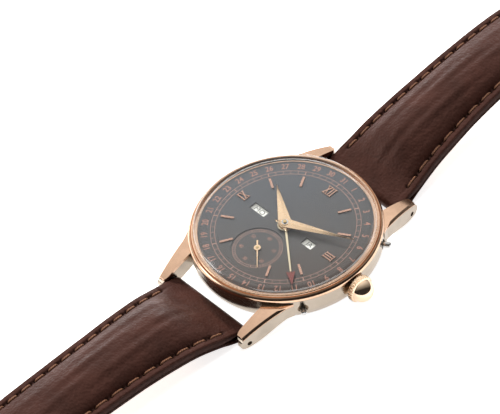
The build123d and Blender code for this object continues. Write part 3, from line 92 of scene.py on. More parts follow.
world = bpy.data.worlds.new("studio")
world.use_nodes = True
scene.world = world
tree = world.node_tree
background = tree.nodes["Background"]
direction = tree.nodes.new("ShaderNodeTexCoord")
facing = tree.nodes.new("ShaderNodeVectorMath")
facing.operation = "DOT_PRODUCT"
facing.inputs[1].default_value = Vector((-0.72, 0.36, 0.60)).normalized()
bright = tree.nodes.new("ShaderNodeValToRGB")
for position, grey in ((0.45, 0.30), (0.80, 0.72)):
    bright.color_ramp.elements.new(position).color = (grey, grey * 0.99, grey * 0.97, 1)
bright.color_ramp.elements[0].color = (0.03, 0.029, 0.028, 1)
bright.color_ramp.elements[-1].color = (1.0, 1.0, 1.0, 1)
tree.links.new(direction.outputs["Generated"], facing.inputs[0])
tree.links.new(facing.outputs["Value"], bright.inputs["Fac"])
tree.links.new(bright.outputs["Color"], background.inputs["Color"])
background.inputs["Strength"].default_value = 1.35

area_light("overhead", (0.02, -0.02, 0.75), (0, 0, 0), 0.30, 1.8, glossy=False)
area_light("back_key", (-0.62, 0.36, 0.40), (0, 0, 0), 0.08, 11.0, 0.08, glossy=False)
area_light("rim_strip", (-0.78, 0.42, 0.12), (0, 0, 0.01), 1.1, 0.35, 0.16)
area_light("left_fill", (-0.45, -0.45, 0.30), (0, 0, 0), 0.30, 1.0)


class Surface:
    """A material on a Principled shader, in object coordinates, with short calls for its nodes."""

    def __init__(self, name, colour=(0.5, 0.5, 0.5), **values):
        self.material = bpy.data.materials.new(name)
        self.material.use_nodes = True
        self.tree = self.material.node_tree
        self.shader = self.tree.nodes["Principled BSDF"]
        self.shader.inputs["Base Color"].default_value = (*colour, 1)
        self.material.diffuse_color = (*colour, 1)
        for socket, value in values.items():
            self.shader.inputs[socket.replace("_", " ").title().replace("Ior", "IOR")].default_value = value
        self.place = self.add("ShaderNodeTexCoord").outputs["Object"]

    def add(self, kind, inputs=None, **settings):
        """Add a node; an input's value is a socket to link or a plain value."""
        node = self.tree.nodes.new(kind)
        for key, value in settings.items():
            setattr(node, key, value)
        for key, value in (inputs or {}).items():
            if isinstance(value, bpy.types.NodeSocket):
                self.tree.links.new(value, node.inputs[key])
            else:
                node.inputs[key].default_value = value
        return node

    def math(self, operation, *values):
        node = self.add("ShaderNodeMath", dict(enumerate(values)), operation=operation)
        return node.outputs[0]

    def moved(self, offset=(0, 0, 0), scale=(1, 1, 1), turn=(0, 0, 0)):
        """Coordinates about an offset in millimetres, scaled per axis."""
        shifted = self.add("ShaderNodeVectorMath", {0: self.place, 1: Vector(offset) * MM},
                           operation="SUBTRACT")
        node = self.add("ShaderNodeMapping", {0: shifted.outputs[0], "Scale": scale, "Rotation": turn})
        return node.outputs[0]

    def from_axis(self, centre=(0, 0)):
        """Distance in metres from an upright axis through a centre in millimetres."""
        about = self.moved(offset=(*centre, 0), scale=(1, 1, 0))
        return self.add("ShaderNodeVectorMath", {0: about}, operation="LENGTH").outputs["Value"]

    def noise(self, size, detail=3.0, where=None, rough=0.5, twist=0.0):
        """Noise whose features are about size millimetres across."""
        node = self.add("ShaderNodeTexNoise", {"Vector": where or self.place, "Scale": 1000 / size,
                                               "Detail": detail, "Roughness": rough, "Distortion": twist})
        return node.outputs["Fac"]

    def cells(self, size, where=None, randomness=1.0):
        """Distance within cells about size millimetres across."""
        node = self.add("ShaderNodeTexVoronoi", {"Vector": where or self.place, "Scale": 1000 / size,
                                                 "Randomness": randomness})
        return node.outputs["Distance"]

    def remap(self, value, low, high, from_low=0.0, from_high=1.0):
        """Map a value's range to low and high, held at both ends."""
        node = self.add("ShaderNodeMapRange", {0: value, 1: from_low, 2: from_high, 3: low, 4: high})
        return node.outputs[0]

    def colour(self, value, *stops):
        """Drive the base colour from a value through colour stops of (position, colour)."""
        ramp = self.add("ShaderNodeValToRGB", {"Fac": value})
        while len(ramp.color_ramp.elements) < len(stops):
            ramp.color_ramp.elements.new(0.5)
        for element, (position, colour) in zip(ramp.color_ramp.elements, stops):
            element.position = position
            element.color = (*colour, 1)
        self.tree.links.new(ramp.outputs["Color"], self.shader.inputs["Base Color"])
        return ramp.outputs["Color"]

    def rough(self, value, low, high, from_low=0.3, from_high=0.7):
        """Drive the roughness from a value."""
        roughness = self.remap(value, low, high, from_low, from_high)
        self.tree.links.new(roughness, self.shader.inputs["Roughness"])

    def bump(self, height, depth, strength=1.0):
        """Add relief of a depth in millimetres on top of any relief there already."""
        node = self.add("ShaderNodeBump", {"Height": height, "Distance": depth * MM, "Strength": strength})
        link = self.shader.inputs["Normal"].links
        if link:
            self.tree.links.new(link[0].from_socket, node.inputs["Normal"])
        self.tree.links.new(node.outputs["Normal"], self.shader.inputs["Normal"])


def shade(colour, factor):
    return tuple(channel * factor for channel in colour)


def polished(name, colour, low=0.1, high=0.22, dull=0.86, scratches=0.0008):
    """Polished metal with faint tarnish, handling marks and fine hairlines."""
    surface = Surface(name, colour, metallic=1.0)
    clouds = surface.noise(2.6, 4)
    surface.colour(clouds, (0.3, shade(colour, dull)), (0.65, colour))
    surface.rough(surface.noise(1.1, 5), low, high)
    hairs = surface.noise(0.35, 3, surface.moved(scale=(1, 0.08, 0.6), turn=(0.2, 0.1, 0.7)))
    surface.bump(hairs, scratches)
    return surface


def brushed(name, colour, scale, low=0.24, high=0.42):
    """Metal with straight graining, across the axis that scale squeezes."""
    surface = Surface(name, colour, metallic=1.0)
    grain = surface.noise(0.12, 4, surface.moved(scale=scale))
    surface.colour(surface.noise(3.0, 3), (0.3, shade(colour, 0.84)), (0.7, colour))
    surface.rough(grain, low, high)
    surface.bump(grain, 0.006)
    return surface


def turned(name, colour, centre, low=0.2, high=0.36, pitch=0.14):
    """Metal with rings cut in a lathe about a centre."""
    surface = Surface(name, colour, metallic=1.0)
    rings = surface.add("ShaderNodeTexNoise",
                        {"W": surface.from_axis(centre), "Scale": 1000 / pitch, "Detail": 3.0},
                        noise_dimensions="1D").outputs["Fac"]
    surface.colour(surface.noise(2.4, 3), (0.3, shade(colour, 0.85)), (0.7, colour))
    surface.rough(rings, low, high)
    surface.bump(rings, 0.006)
    return surface


def sunray(name, colour, centre, low=0.16, high=0.36, rays=26.0, metallic=1.0):
    """Metal whose graining runs out from a centre like rays."""
    surface = Surface(name, colour, metallic=metallic)
    about = surface.moved(offset=(*centre, 0))
    parts = surface.add("ShaderNodeSeparateXYZ", {0: about})
    angle = surface.math("ARCTAN2", parts.outputs["Y"], parts.outputs["X"])
    rays_out = surface.add("ShaderNodeTexNoise", {"W": angle, "Scale": rays, "Detail": 4.0},
                           noise_dimensions="1D").outputs["Fac"]
    surface.colour(rays_out, (0.3, shade(colour, 0.82)), (0.7, colour))
    surface.rough(rays_out, low, high)
    surface.bump(rays_out, 0.004)
    return surface


def lacquer(name, colour, size=0.25, low=0.28, high=0.4, depth=0.004, coat=0.4, dark=0.86):
    """Fired lacquer with a fine grain under a clear coat."""
    surface = Surface(name, colour, coat_weight=coat, coat_roughness=0.12)
    surface.colour(surface.noise(1.8, 4), (0.3, shade(colour, dark)), (0.7, colour))
    surface.rough(surface.noise(size, 3), low, high)
    surface.bump(surface.noise(size * 0.6, 2), depth)
    return surface


ROSE = (0.70, 0.455, 0.31)
STEEL = (0.48, 0.405, 0.33)
COOL_STEEL = (0.62, 0.61, 0.60)
BRASS = (0.74, 0.52, 0.24)
NICKEL = (0.66, 0.62, 0.54)
BLUED = (0.03, 0.06, 0.24)

metals = {
    "rose_gold": polished("rose_gold", ROSE, 0.08, 0.2),
    "case_steel": brushed("case_steel", STEEL, (0.05, 0.05, 1), 0.16, 0.26),
    "back_steel": turned("back_steel", COOL_STEEL, (0, 0)),
    "ring_brass": turned("ring_brass", (0.55, 0.42, 0.22), (0, 0)),
    "marker_gold": polished("marker_gold", (0.60, 0.36, 0.27), 0.22, 0.34),
    "hand_gold": polished("hand_gold", (0.93, 0.66, 0.42), 0.22, 0.34, 0.94),
    "crown_gold": polished("crown_gold", (0.86, 0.65, 0.46), 0.06, 0.14),
    "steel": polished("steel", COOL_STEEL, 0.14, 0.28),
    "blued_steel": polished("blued_steel", BLUED, 0.12, 0.22, 0.7),
    "wheel_brass": polished("wheel_brass", BRASS, 0.2, 0.32),
    "buckle_gold": polished("buckle_gold", ROSE, 0.1, 0.22),
}

# Bridges carry straight stripes, and the plates a pattern of overlapping ground spots.
striped = Surface("bridge_stripes", NICKEL, metallic=1.0)
stripe_place = striped.moved(scale=(1000, 1000, 1000), turn=(0, 0, 0.9))
stripe = striped.add("ShaderNodeTexWave", {"Vector": stripe_place, "Scale": 0.24, "Distortion": 0.2,
                                           "Detail Scale": 6.0}, wave_profile="SAW").outputs["Fac"]
striped.colour(stripe, (0.05, shade(NICKEL, 0.78)), (0.9, NICKEL))
striped.rough(striped.noise(0.1, 3, striped.moved(scale=(1, 0.1, 1), turn=(0, 0, 0.9))), 0.18, 0.34)
striped.bump(stripe, 0.01)
spotted = Surface("plate_spots", NICKEL, metallic=1.0)
spots = spotted.cells(1.15, spotted.moved(scale=(1, 1, 0)), randomness=0.12)
spotted.colour(spots, (0.0, NICKEL), (0.5, shade(NICKEL, 0.82)), (0.75, NICKEL))
spotted.rough(spots, 0.2, 0.42, 0.0, 0.6)
spotted.bump(spots, 0.01)

# Painted shade makes the dial's colour darker and browner towards one side, the side facing the camera, and
# noise adds a random tone. This constant is the direction of that side.
SHADED_SIDE = (0.8, -0.6, 0)
dial = Surface("dial", (0.07, 0.07, 0.075), coat_weight=0.1, coat_roughness=0.2, metallic=0.15)
across = dial.add("ShaderNodeVectorMath", {0: dial.place, 1: SHADED_SIDE}, operation="DOT_PRODUCT").outputs["Value"]
shade_and_tone = dial.math("ADD", dial.remap(across, 0, 1, -15 * MM, 15 * MM),
                   dial.remap(dial.noise(4.0, 4), -0.2, 0.2))
# Painted shade: these stops darken the dial and turn it browner towards the shaded side.
dial.colour(shade_and_tone, (0.2, (0.064, 0.068, 0.076)), (0.6, (0.072, 0.067, 0.065)),
            (0.95, (0.070, 0.053, 0.045)))
dial.rough(dial.noise(0.2, 3), 0.36, 0.46)
dial.bump(dial.noise(0.12, 2), 0.0001)

ruby = Surface("jewel", (0.42, 0.012, 0.06), roughness=0.06, coat_weight=0.8, transmission_weight=0.2)
ruby.colour(ruby.noise(0.5, 3), (0.3, (0.3, 0.008, 0.04)), (0.7, (0.5, 0.02, 0.09)))
rubber = Surface("seal", (0.015, 0.015, 0.016), specular_ior_level=0.3)
rubber.rough(rubber.noise(0.5, 3), 0.6, 0.8)
rubber.bump(rubber.noise(0.2, 3), 0.02)

# The date hand turns red past 11 mm from the dial's middle.
date_paint = Surface("date_hand", (0.62, 0.52, 0.34), coat_weight=0.4)
date_tip = date_paint.remap(date_paint.from_axis(), 0, 1, 10.95 * MM, 11.05 * MM)
date_paint.colour(date_tip, (0.4, (0.60, 0.50, 0.33)), (0.6, (0.17, 0.028, 0.02)))
date_paint.rough(date_paint.noise(0.3, 3), 0.3, 0.42)

# The crystal is clear with a reflection that grows at a glance and over its upright wall.
crystal = Surface("crystal", (1, 1, 1), roughness=0.02)
crystal.tree.nodes.remove(crystal.shader)
clear = crystal.add("ShaderNodeBsdfTransparent", {"Color": (0.97, 0.975, 0.975, 1)}).outputs[0]
gloss = crystal.add("ShaderNodeBsdfGlossy", {"Color": (1, 1, 1, 1)})
marks = crystal.noise(0.8, 5, crystal.moved(scale=(1, 0.15, 1), turn=(0, 0, 0.5)))
crystal.tree.links.new(crystal.remap(marks, 0.015, 0.05, 0.3, 0.7), gloss.inputs["Roughness"])
glance = crystal.add("ShaderNodeLayerWeight", {"Blend": 0.5}).outputs["Facing"]
edge = crystal.math("MULTIPLY_ADD", crystal.math("POWER", glance, 5.0), 0.96, 0.022)
wall = crystal.remap(crystal.from_axis(), 0.0, 0.09, 15.3 * MM, 15.75 * MM)
edge = crystal.math("MAXIMUM", edge, wall)
both = crystal.add("ShaderNodeMixShader", {0: edge, 1: clear, 2: gloss.outputs[0]})
crystal.tree.links.new(both.outputs[0], crystal.tree.nodes["Material Output"].inputs["Surface"])

finishes = {**metals, "dial": dial, "jewel": ruby, "seal": rubber, "date_hand": date_paint,
            "crystal": crystal, "plate": striped, "disc": lacquer("disc", (0.88, 0.86, 0.79))}
by_node = {
    "main_plate": spotted, "calendar_plate": spotted,
    "ratchet_wheel": sunray("ratchet_rays", COOL_STEEL, (3.2, 5.427)),
    "crown_wheel": sunray("crown_wheel_rays", COOL_STEEL, (6.198, 0)),
    "barrel_drum": turned("drum_rings", BRASS, (3.2, 5.427)),
}
for part in frame["record"]["subparts"]:
    name, slot_name = part["node"], part["material_slot"]
    surface = by_node.get(name) or finishes.get(slot_name)
    if surface:
        mesh = nodes[name].data
        mesh.materials.clear()
        mesh.materials.append(surface.material)


# ------------------------------------------------------------------ mesh building
def add_mesh(name, vertices, faces, material, smooth=True):
    """Add a mesh object from vertices in millimetres."""
    mesh = bpy.data.meshes.new(name)
    mesh.from_pydata([tuple(v) for v in np.asarray(vertices, float) * MM], [], faces)
    form = bmesh.new()
    form.from_mesh(mesh)
    bmesh.ops.recalc_face_normals(form, faces=form.faces)
    form.to_mesh(mesh)
    form.free()
    mesh.polygons.foreach_set("use_smooth", [smooth] * len(mesh.polygons))
    mesh.materials.append(material.material)
    mesh.update()
    thing = bpy.data.objects.new(name, mesh)
    scene.collection.objects.link(thing)
    return thing


def grid_faces(rings, columns, closed=False):
    """Faces of a tube of rings, each of some columns; a closed one joins its last ring to its first."""
    return [(i * columns + j, i * columns + (j + 1) % columns,
             (i + 1) % rings * columns + (j + 1) % columns, (i + 1) % rings * columns + j)
            for i in range(rings if closed else rings - 1) for j in range(columns)]


def end_caps(rings, columns):
    """The two faces that close a tube's ends."""
    return [tuple(range(start, start + columns)) for start in (0, (rings - 1) * columns)]


class Mesh:
    """Vertices and faces gathered from many small forms."""

    def __init__(self):
        self.vertices = []
        self.faces = []

    def add(self, vertices, faces):
        start = len(self.vertices)
        self.vertices.extend(tuple(v) for v in vertices)
        self.faces.extend(tuple(start + i for i in face) for face in faces)

    def slab(self, outline, low, high):
        """Add a flat form with the given outline between two heights."""
        count = len(outline)
        base = [(x, y, low) for x, y in outline] + [(x, y, high) for x, y in outline]
        sides = [(i, (i + 1) % count, count + (i + 1) % count, count + i) for i in range(count)]
        self.add(base, [tuple(range(count, 2 * count)), tuple(range(count - 1, -1, -1)), *sides])

    def ring(self, centre, inner, outer, low, high, count=180):
        """Add a flat ring about a centre, between two radii and two heights."""
        turns = [2 * math.pi * i / count for i in range(count)]
        circle = [(math.cos(a), math.sin(a)) for a in turns]
        vertices = [(centre[0] + r * x, centre[1] + r * y, z) for r, z in
                    ((inner, low), (outer, low), (outer, high), (inner, high)) for x, y in circle]
        self.add(vertices, grid_faces(4, count, closed=True))

    def bar(self, centre, angle, start, end, width, low, high):
        """Add a radial bar about a centre, its angle clockwise from twelve o'clock in degrees."""
        a = math.radians(90 - angle)
        along = Vector((math.cos(a), math.sin(a)))
        across = Vector((-along.y, along.x)) * width / 2
        middle = Vector(centre)
        corners = [middle + along * start - across, middle + along * end - across,
                   middle + along * end + across, middle + along * start + across]
        self.slab([tuple(c) for c in corners], low, high)

    def text(self, words, centre, height, low, high, turn=0.0, stretch=1.0, weight=0.0):
        """Add lettering centred on a point, turned clockwise by degrees."""
        curve = bpy.data.curves.new("lettering", "FONT")
        curve.body = words
        curve.size = height / 0.72
        curve.align_x = "CENTER"
        curve.align_y = "CENTER"
        curve.extrude = (high - low) / 2
        curve.offset = weight
        curve.resolution_u = 3
        holder = bpy.data.objects.new("lettering", curve)
        mesh = bpy.data.meshes.new_from_object(holder)
        a = -math.radians(turn)
        points = np.array([v.co for v in mesh.vertices]).reshape(-1, 3)
        middle = (points.min(0) + points.max(0)) / 2 if len(points) else np.zeros(3)
        points = (points - middle) * (stretch, 1, 1)
        x = centre[0] + points[:, 0] * math.cos(a) - points[:, 1] * math.sin(a)
        y = centre[1] + points[:, 0] * math.sin(a) + points[:, 1] * math.cos(a)
        z = (low + high) / 2 + points[:, 2]
        self.add(np.column_stack((x, y, z)), [tuple(p.vertices) for p in mesh.polygons])
        bpy.data.meshes.remove(mesh)
        bpy.data.objects.remove(holder)
        bpy.data.curves.remove(curve)

    def finish(self, name, material, body, slot_name=None, smooth=False):
        """Make one object of the forms and let it ride on a body."""
        thing = add_mesh(name, self.vertices, self.faces, material, smooth)
        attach(thing, body)
        return thing


def clock(centre, angle, radius):
    """A point at an angle clockwise from twelve o'clock in degrees."""
    a = math.radians(90 - angle)
    return (centre[0] + radius * math.cos(a), centre[1] + radius * math.sin(a))


# ------------------------------------------------------------------ dial printing
INK_LOW = DIAL_TOP - 0.005
INK_HIGH = DIAL_TOP + 0.012
SUB_DIAL = (0, -6.8)
SUB_INK = (INK_LOW - 0.12, INK_HIGH - 0.12)

ink = lacquer("dial_ink", (0.42, 0.21, 0.155), 0.15, 0.4, 0.55, 0.002, 0.0, 0.75)
printing = Mesh()
for day in range(1, 32):
    angle = day * 360 / 31
    printing.text(str(day), clock((0, 0), angle, 14.35), 1.2, INK_LOW, INK_HIGH, angle, 0.85, 0.02)
for tens in range(1, 7):
    printing.text(str(tens * 10), clock(SUB_DIAL, tens * 60, 3.0), 0.72, *SUB_INK, 0, 0.85)
printing.finish("dial_printing", ink, "case", "marker_gold")

track_ink = lacquer("track_ink", (0.46, 0.26, 0.20), 0.15, 0.4, 0.55, 0.002, 0.0, 0.75)
track = Mesh()
for inner, outer in ((12.44, 12.52), (13.2, 13.28)):
    track.ring((0, 0), inner, outer, INK_LOW, INK_HIGH, 240)
for minute in range(60):
    track.bar((0, 0), minute * 6, 12.48, 13.24, 0.17 if minute % 5 == 0 else 0.07, INK_LOW, INK_HIGH)
for inner, outer in ((3.88, 3.93), (4.36, 4.42)):
    track.ring(SUB_DIAL, inner, outer, *SUB_INK)
for second in range(60):
    track.bar(SUB_DIAL, second * 6, 3.9, 4.39, 0.12 if second % 5 == 0 else 0.05, *SUB_INK)
track.finish("track_printing", track_ink, "case", "marker_gold")

black_ink = lacquer("disc_ink", (0.012, 0.012, 0.014), 0.15, 0.4, 0.55, 0.002, 0.0)
DISC_TOP = 6.24
DISC_INK = (DISC_TOP - 0.01, DISC_TOP + 0.012)
DAY_DISC, DAY_TEXT_R, DAY_SHOWN = (-6.2, 4.1), 4.4, 181.3
MONTH_DISC, MONTH_TEXT_R, MONTH_SHOWN = (5.9, 4.4), 4.6, 178.75
days = Mesh()
for number, word in enumerate(("MO", "TU", "WE", "TH", "FR", "SA", "SU")):
    angle = DAY_SHOWN - number * 360 / 7
    days.text(word, clock(DAY_DISC, angle, DAY_TEXT_R), 0.95, *DISC_INK, angle - DAY_SHOWN, 1.2)
days.finish("day_lettering", black_ink, "day")
months = Mesh()
for number, word in enumerate(("JA", "FE", "MR", "AP", "MY", "JU", "JL", "AU", "SE", "OC", "NO", "DE")):
    angle = MONTH_SHOWN - number * 30
    months.text(word, clock(MONTH_DISC, angle, MONTH_TEXT_R), 0.9, *DISC_INK, angle - MONTH_SHOWN, 1.1)
months.finish("month_lettering", black_ink, "month")

# -------------------------------------------------------------------------- strap
# Lengths are in millimetres. Along a strap half, y runs from the case's middle towards its end.
BAR_Y, BAR_Z = 19.8, 1.4
BUCKLE_Y = 92.0
LONG_SPINE = ((19.8, 1.4), (24, 3.0), (28, 4.3), (34, 5.3), (41, 5.9), (47, 6.2), (58, 6.4), (75, 5.7),
              (92, 3.7), (108, 1.75), (118, 1.25), (126, 1.2), (134, 1.2))
SHORT_SPINE = ((19.8, 1.4), (24, 3.0), (28, 4.5), (34, 6.0), (40, 7.1), (46, 7.9), (54, 8.5), (62, 8.4),
               (70, 7.1), (77, 5.3), (84.5, 3.35), (92, 1.4))
TAIL_CURVE_Y, TAIL_Y, TAIL_WIDTH = 122.0, 134.0, 7.0
WIDTHS = ((17, 8.9), (22, 8.9), (24, 8.75), (31, 8.2), (40, 7.65), (50, 7.35), (75, 7.05), (122, TAIL_WIDTH))

# The leather folds back under itself round the case's bar, and on the short half round the buckle's.
FOLD_Y, FOLD_BEND_Y, TOP_START_Y = 28.7, 23.4, 24.0
BUCKLE_BEND_Y, BUCKLE_FOLD_Y = 88.0, 84.3
BAR_LOOP_R, BUCKLE_LOOP_R = 1.04, 0.95
TOP_T, UNDER_T, LOOP_T, BUCKLE_LOOP_T = 1.36, 0.78, 0.62, 0.52
LOOP_SWELL = 0.6
TOP_MIDDLE, UNDER_MIDDLE = 0.42, -0.70
ROW_STEP, RING_STEP = 0.5, 0.25
EDGE_ROUND, UNDER_BEVEL = 0.3, 0.08

# The padding under the top leather.
PAD_INSET, PAD_HEIGHT = 1.75, 2.0
PAD_START_Y, PAD_EASE_IN, PAD_END_Y, PAD_EASE_OUT = 19.4, 11.0, 72.0, 30.0

# The stitching. The two sides of the strap have their own stitch lengths.
STITCH_INSET, STITCH_GAP = 1.4, 0.95
STITCH_START_Y, STITCH_END_Y = 22.4, 87.5
PITCHES = {True: 3.45, False: 3.0}
GROOVE_DEPTH, GROOVE_R = 0.11, 0.28
PIT_DEPTH, PIT_LIMIT, PIT_R, PIT_REACH = 0.5, 0.45, 0.3, 1.2
THREAD_R, THREAD_SIDES, THREAD_SINK, THREAD_DIVE = 0.19, 8, 0.05, 0.36

# Columns of the skin: their distances from an edge, then the number to the middle and underneath.
NEAR_EDGE = (0, 0.03, 0.09, 0.18, 0.3, 0.5, 0.75, 0.95, 1.1, 1.2, 1.3, 1.4, 1.5, 1.6, 1.7, 1.85, 2.0,
             2.15, 2.35, 2.6, 2.9, 3.3)
MIDDLE_COUNT = 14
UNDER_COUNT = 12

LINING_COLUMNS = 24
LINING_LOW, LINING_HIGH, LINING_BEVEL = -1.09, -0.31, 0.1
LINING_SIDE_GAP, LINING_TAIL_GAP, LINING_BUCKLE_Y = 0.06, 0.35, 83.8

HOLE_R, HOLE_COUNT, HOLE_FIRST_Y, HOLE_PITCH = 0.9, 6, 88, 6.5
TONGUE_SLOT = ((-1.25, 89.75), (1.25, 89.75), (1.25, 94.5), (-1.25, 94.5))
PUNCH_LOW = -2


def curve_through(points):
    """Return a smooth height over distance through the given points."""
    ys, zs = np.array(points).T
    slopes = np.gradient(zs, ys)

    def height(y):
        y = np.clip(y, ys[0], ys[-1])
        i = np.clip(np.searchsorted(ys, y, side="right") - 1, 0, len(ys) - 2)
        gap = ys[i + 1] - ys[i]
        t = (y - ys[i]) / gap
        return ((2 * t ** 3 - 3 * t ** 2 + 1) * zs[i] + (t ** 3 - 2 * t ** 2 + t) * gap * slopes[i]
                + (3 * t ** 2 - 2 * t ** 3) * zs[i + 1] + (t ** 3 - t ** 2) * gap * slopes[i + 1])

    return height


def half_width(y):
    """The strap's half width, narrowing to a rounded point at the tail."""
    u = np.clip((y - TAIL_CURVE_Y) / (TAIL_Y - TAIL_CURVE_Y), 0, 0.9995)
    return np.interp(y, *np.array(WIDTHS).T) * np.sqrt(1 - u ** 2)


def lengths_along(points):
    """The length of a path from its start up to each of its points."""
    return np.concatenate(([0], np.cumsum(np.hypot(*np.diff(points, axis=0).T))))


def resample(rows, step):
    """Even out rows of (y, z, ...) along their path and soften their corners."""
    rows = np.array(rows, float)
    length = lengths_along(rows[:, :2])
    even = np.linspace(0, length[-1], int(length[-1] / step) + 1)
    rows = np.column_stack([np.interp(even, length, column) for column in rows.T])
    kernel = np.hanning(9)[1:-1]
    kernel /= kernel.sum()
    padded = np.vstack([rows[:1]] * 3 + [rows] + [rows[-1:]] * 3)
    return np.column_stack([np.convolve(column, kernel, "valid") for column in padded.T])


def loop_rows(centre, radius, first, last, thickness, swell=0.0):
    """Rows of the leather's middle line round a bar, between two angles in degrees."""
    angles = np.radians(np.linspace(first, last, 22))
    return [(centre[0] + radius * math.cos(a) - swell * max(0, -math.cos(a)),
             centre[1] + radius * math.sin(a), thickness, 0.0) for a in angles]


def leather_rows(spine, has_buckle):
    """Rows of (y, z, thickness, top side) along the leather: fold, bar loop, top, and any buckle loop."""
    height = curve_through(spine)

    def run(ys, middle, thickness, top):
        return [(y, float(height(y)) + middle, thickness, top) for y in ys]

    rows = run(np.arange(FOLD_Y, FOLD_BEND_Y, -ROW_STEP), UNDER_MIDDLE, UNDER_T, 0.0)
    rows += loop_rows((BAR_Y, BAR_Z), BAR_LOOP_R, -64, -257, LOOP_T, LOOP_SWELL)
    end_y = BUCKLE_BEND_Y if has_buckle else TAIL_CURVE_Y
    rows += run(np.arange(TOP_START_Y, end_y, ROW_STEP), TOP_MIDDLE, TOP_T, 1.0)
    if has_buckle:
        rows += loop_rows((BUCKLE_Y, BAR_Z), BUCKLE_LOOP_R, 78, -108, BUCKLE_LOOP_T)
        rows += run(np.arange(BUCKLE_BEND_Y, BUCKLE_FOLD_Y, -ROW_STEP), UNDER_MIDDLE, UNDER_T, 0.0)
    else:
        tip = TAIL_CURVE_Y + (TAIL_Y - TAIL_CURVE_Y) * np.sin(np.linspace(0.02, math.pi / 2, 40))
        rows += run(tip, TOP_MIDDLE, TOP_T, 1.0)
    return resample(rows, RING_STEP)


def outward_normals(rows):
    """Unit normals (y, z) that point out of the leather's outer side."""
    tangent = np.gradient(rows[:, :2], axis=0)
    tangent /= np.linalg.norm(tangent, axis=1)[:, None]
    return np.column_stack((-tangent[:, 1], tangent[:, 0]))


def pad_rise(y):
    """How high the padding stands along the strap."""
    start = np.clip((y - PAD_START_Y) / PAD_EASE_IN, 0, 1)
    finish = np.clip((PAD_END_Y - y) / PAD_EASE_OUT, 0, 1)
    ease = start * start * (3 - 2 * start) * (finish * finish * (3 - 2 * finish)) ** 0.7
    return PAD_HEIGHT * ease


def crease(x, y):
    """Shallow lengthwise creases and puckers of the padding, in millimetres."""
    folds = np.sin(1.9 * x + 0.12 * y + 0.8 * np.sin(0.11 * y))
    finer = 0.6 * np.sin(3.1 * x - 0.17 * y + 1.3)
    puckers = np.sin(1.35 * y + 0.9 * x + 1.1 * np.sin(0.6 * x)) * np.exp(-((y - 27) / 9) ** 2)
    return 0.08 * (folds + finer) + 0.035 * puckers


def edge_distances(width):
    """Distances from a strap's edge, close together over the stitching, out to the middle."""
    near = np.array(NEAR_EDGE) * min(1.0, width / 4.5)
    return np.concatenate((near, np.linspace(near[-1], width, MIDDLE_COUNT + 1)[1:]))


def stitch_lines(has_buckle):
    """Lines of (x, y) along the stitching: two sides, or one line round a tail's tip."""
    last_y = STITCH_END_Y if has_buckle else TAIL_CURVE_Y
    side = [(half_width(y) - STITCH_INSET, y) for y in np.arange(STITCH_START_Y, last_y, ROW_STEP)]
    other = [(-x, y) for x, y in side]
    if has_buckle:
        return [side, other]
    a, b = TAIL_WIDTH - STITCH_INSET, TAIL_Y - TAIL_CURVE_Y - STITCH_INSET
    turns = np.linspace(0.02, math.pi - 0.02, 80)
    return [side + [(a * math.cos(t), TAIL_CURVE_Y + b * math.sin(t)) for t in turns] + other[::-1]]


def stitch_spans(line):
    """Points (x, y) along each stitch of a line, from its first hole to its second."""
    line = np.array(line)
    length = lengths_along(line)
    spans = []
    at = 0.3
    while True:
        pitch = PITCHES[bool(np.interp(at, length, line[:, 0]) > 0)]
        if at + pitch > length[-1]:
            return spans
        ends = at + np.linspace(0, pitch - STITCH_GAP, 9)
        spans.append(np.column_stack([np.interp(ends, length, column) for column in line.T]))
        at += pitch


def build_skin(name, rows, normals, side, holes):
    """Build the padded leather with its rounded edge, stitch groove and stitch holes."""
    vertices, stitch_shades = [], []
    for (y, z, thickness, top), (ny, nz) in zip(rows, normals):
        width = float(half_width(y))
        d = edge_distances(width)
        x = np.concatenate((-(width - d), (width - d)[-2::-1]))
        away = np.concatenate((d, d[-2::-1]))
        rounding = EDGE_ROUND - np.sqrt(np.maximum(0, EDGE_ROUND ** 2 - (EDGE_ROUND - away) ** 2))
        drop = np.where(away < EDGE_ROUND, rounding, 0)
        inside = np.clip(1 - (np.abs(x) / max(width - PAD_INSET, 0.5)) ** 2, 0, 1)
        rise = top * (pad_rise(y) * inside ** 0.78 + crease(x, y) * pad_rise(y) / PAD_HEIGHT * inside)
        groove = GROOVE_DEPTH * top * np.exp(-((away - STITCH_INSET) / GROOVE_R) ** 2)
        pits = np.zeros(len(x))
        for hx, hy in holes[np.abs(holes[:, 1] - y) < PIT_REACH]:
            pits += PIT_DEPTH * top * np.exp(-(((x - hx) / PIT_R) ** 2 + ((y - hy) / PIT_R) ** 2))
        lift = thickness / 2 + rise - drop - groove - np.minimum(pits, PIT_LIMIT)
        under_x = np.linspace(width, -width, UNDER_COUNT)
        under = -thickness / 2 + np.where(np.abs(under_x) > width - 0.01, UNDER_BEVEL, 0)
        # Painted shade for the stitch groove and the stitch holes, kept per vertex.
        stitch_shades.extend(np.concatenate((np.clip(pits * 2.2 + groove * 2.5, 0, 1), np.zeros(UNDER_COUNT))))
        for px, offset in zip(np.concatenate((x, under_x)), np.concatenate((lift, under))):
            vertices.append((px, side * (y + ny * offset), z + nz * offset))
    upper = 2 * (len(NEAR_EDGE) + MIDDLE_COUNT) - 1
    columns = upper + UNDER_COUNT
    cut_edges = [int(j in (0, upper - 2, upper - 1, columns - 1)) for j in range(columns)]
    faces = grid_faces(len(rows), columns) + end_caps(len(rows), columns)
    skin = add_mesh(name + "_leather", vertices, faces, leather)
    skin.data.materials.append(leather_edge.material)
    skin.data.polygons.foreach_set("material_index", cut_edges * (len(rows) - 1) + [1, 1])
    stitch_shade = skin.data.attributes.new("stitch_shade", "FLOAT", "POINT")
    stitch_shade.data.foreach_set("value", np.array(stitch_shades, np.float32))
    return skin


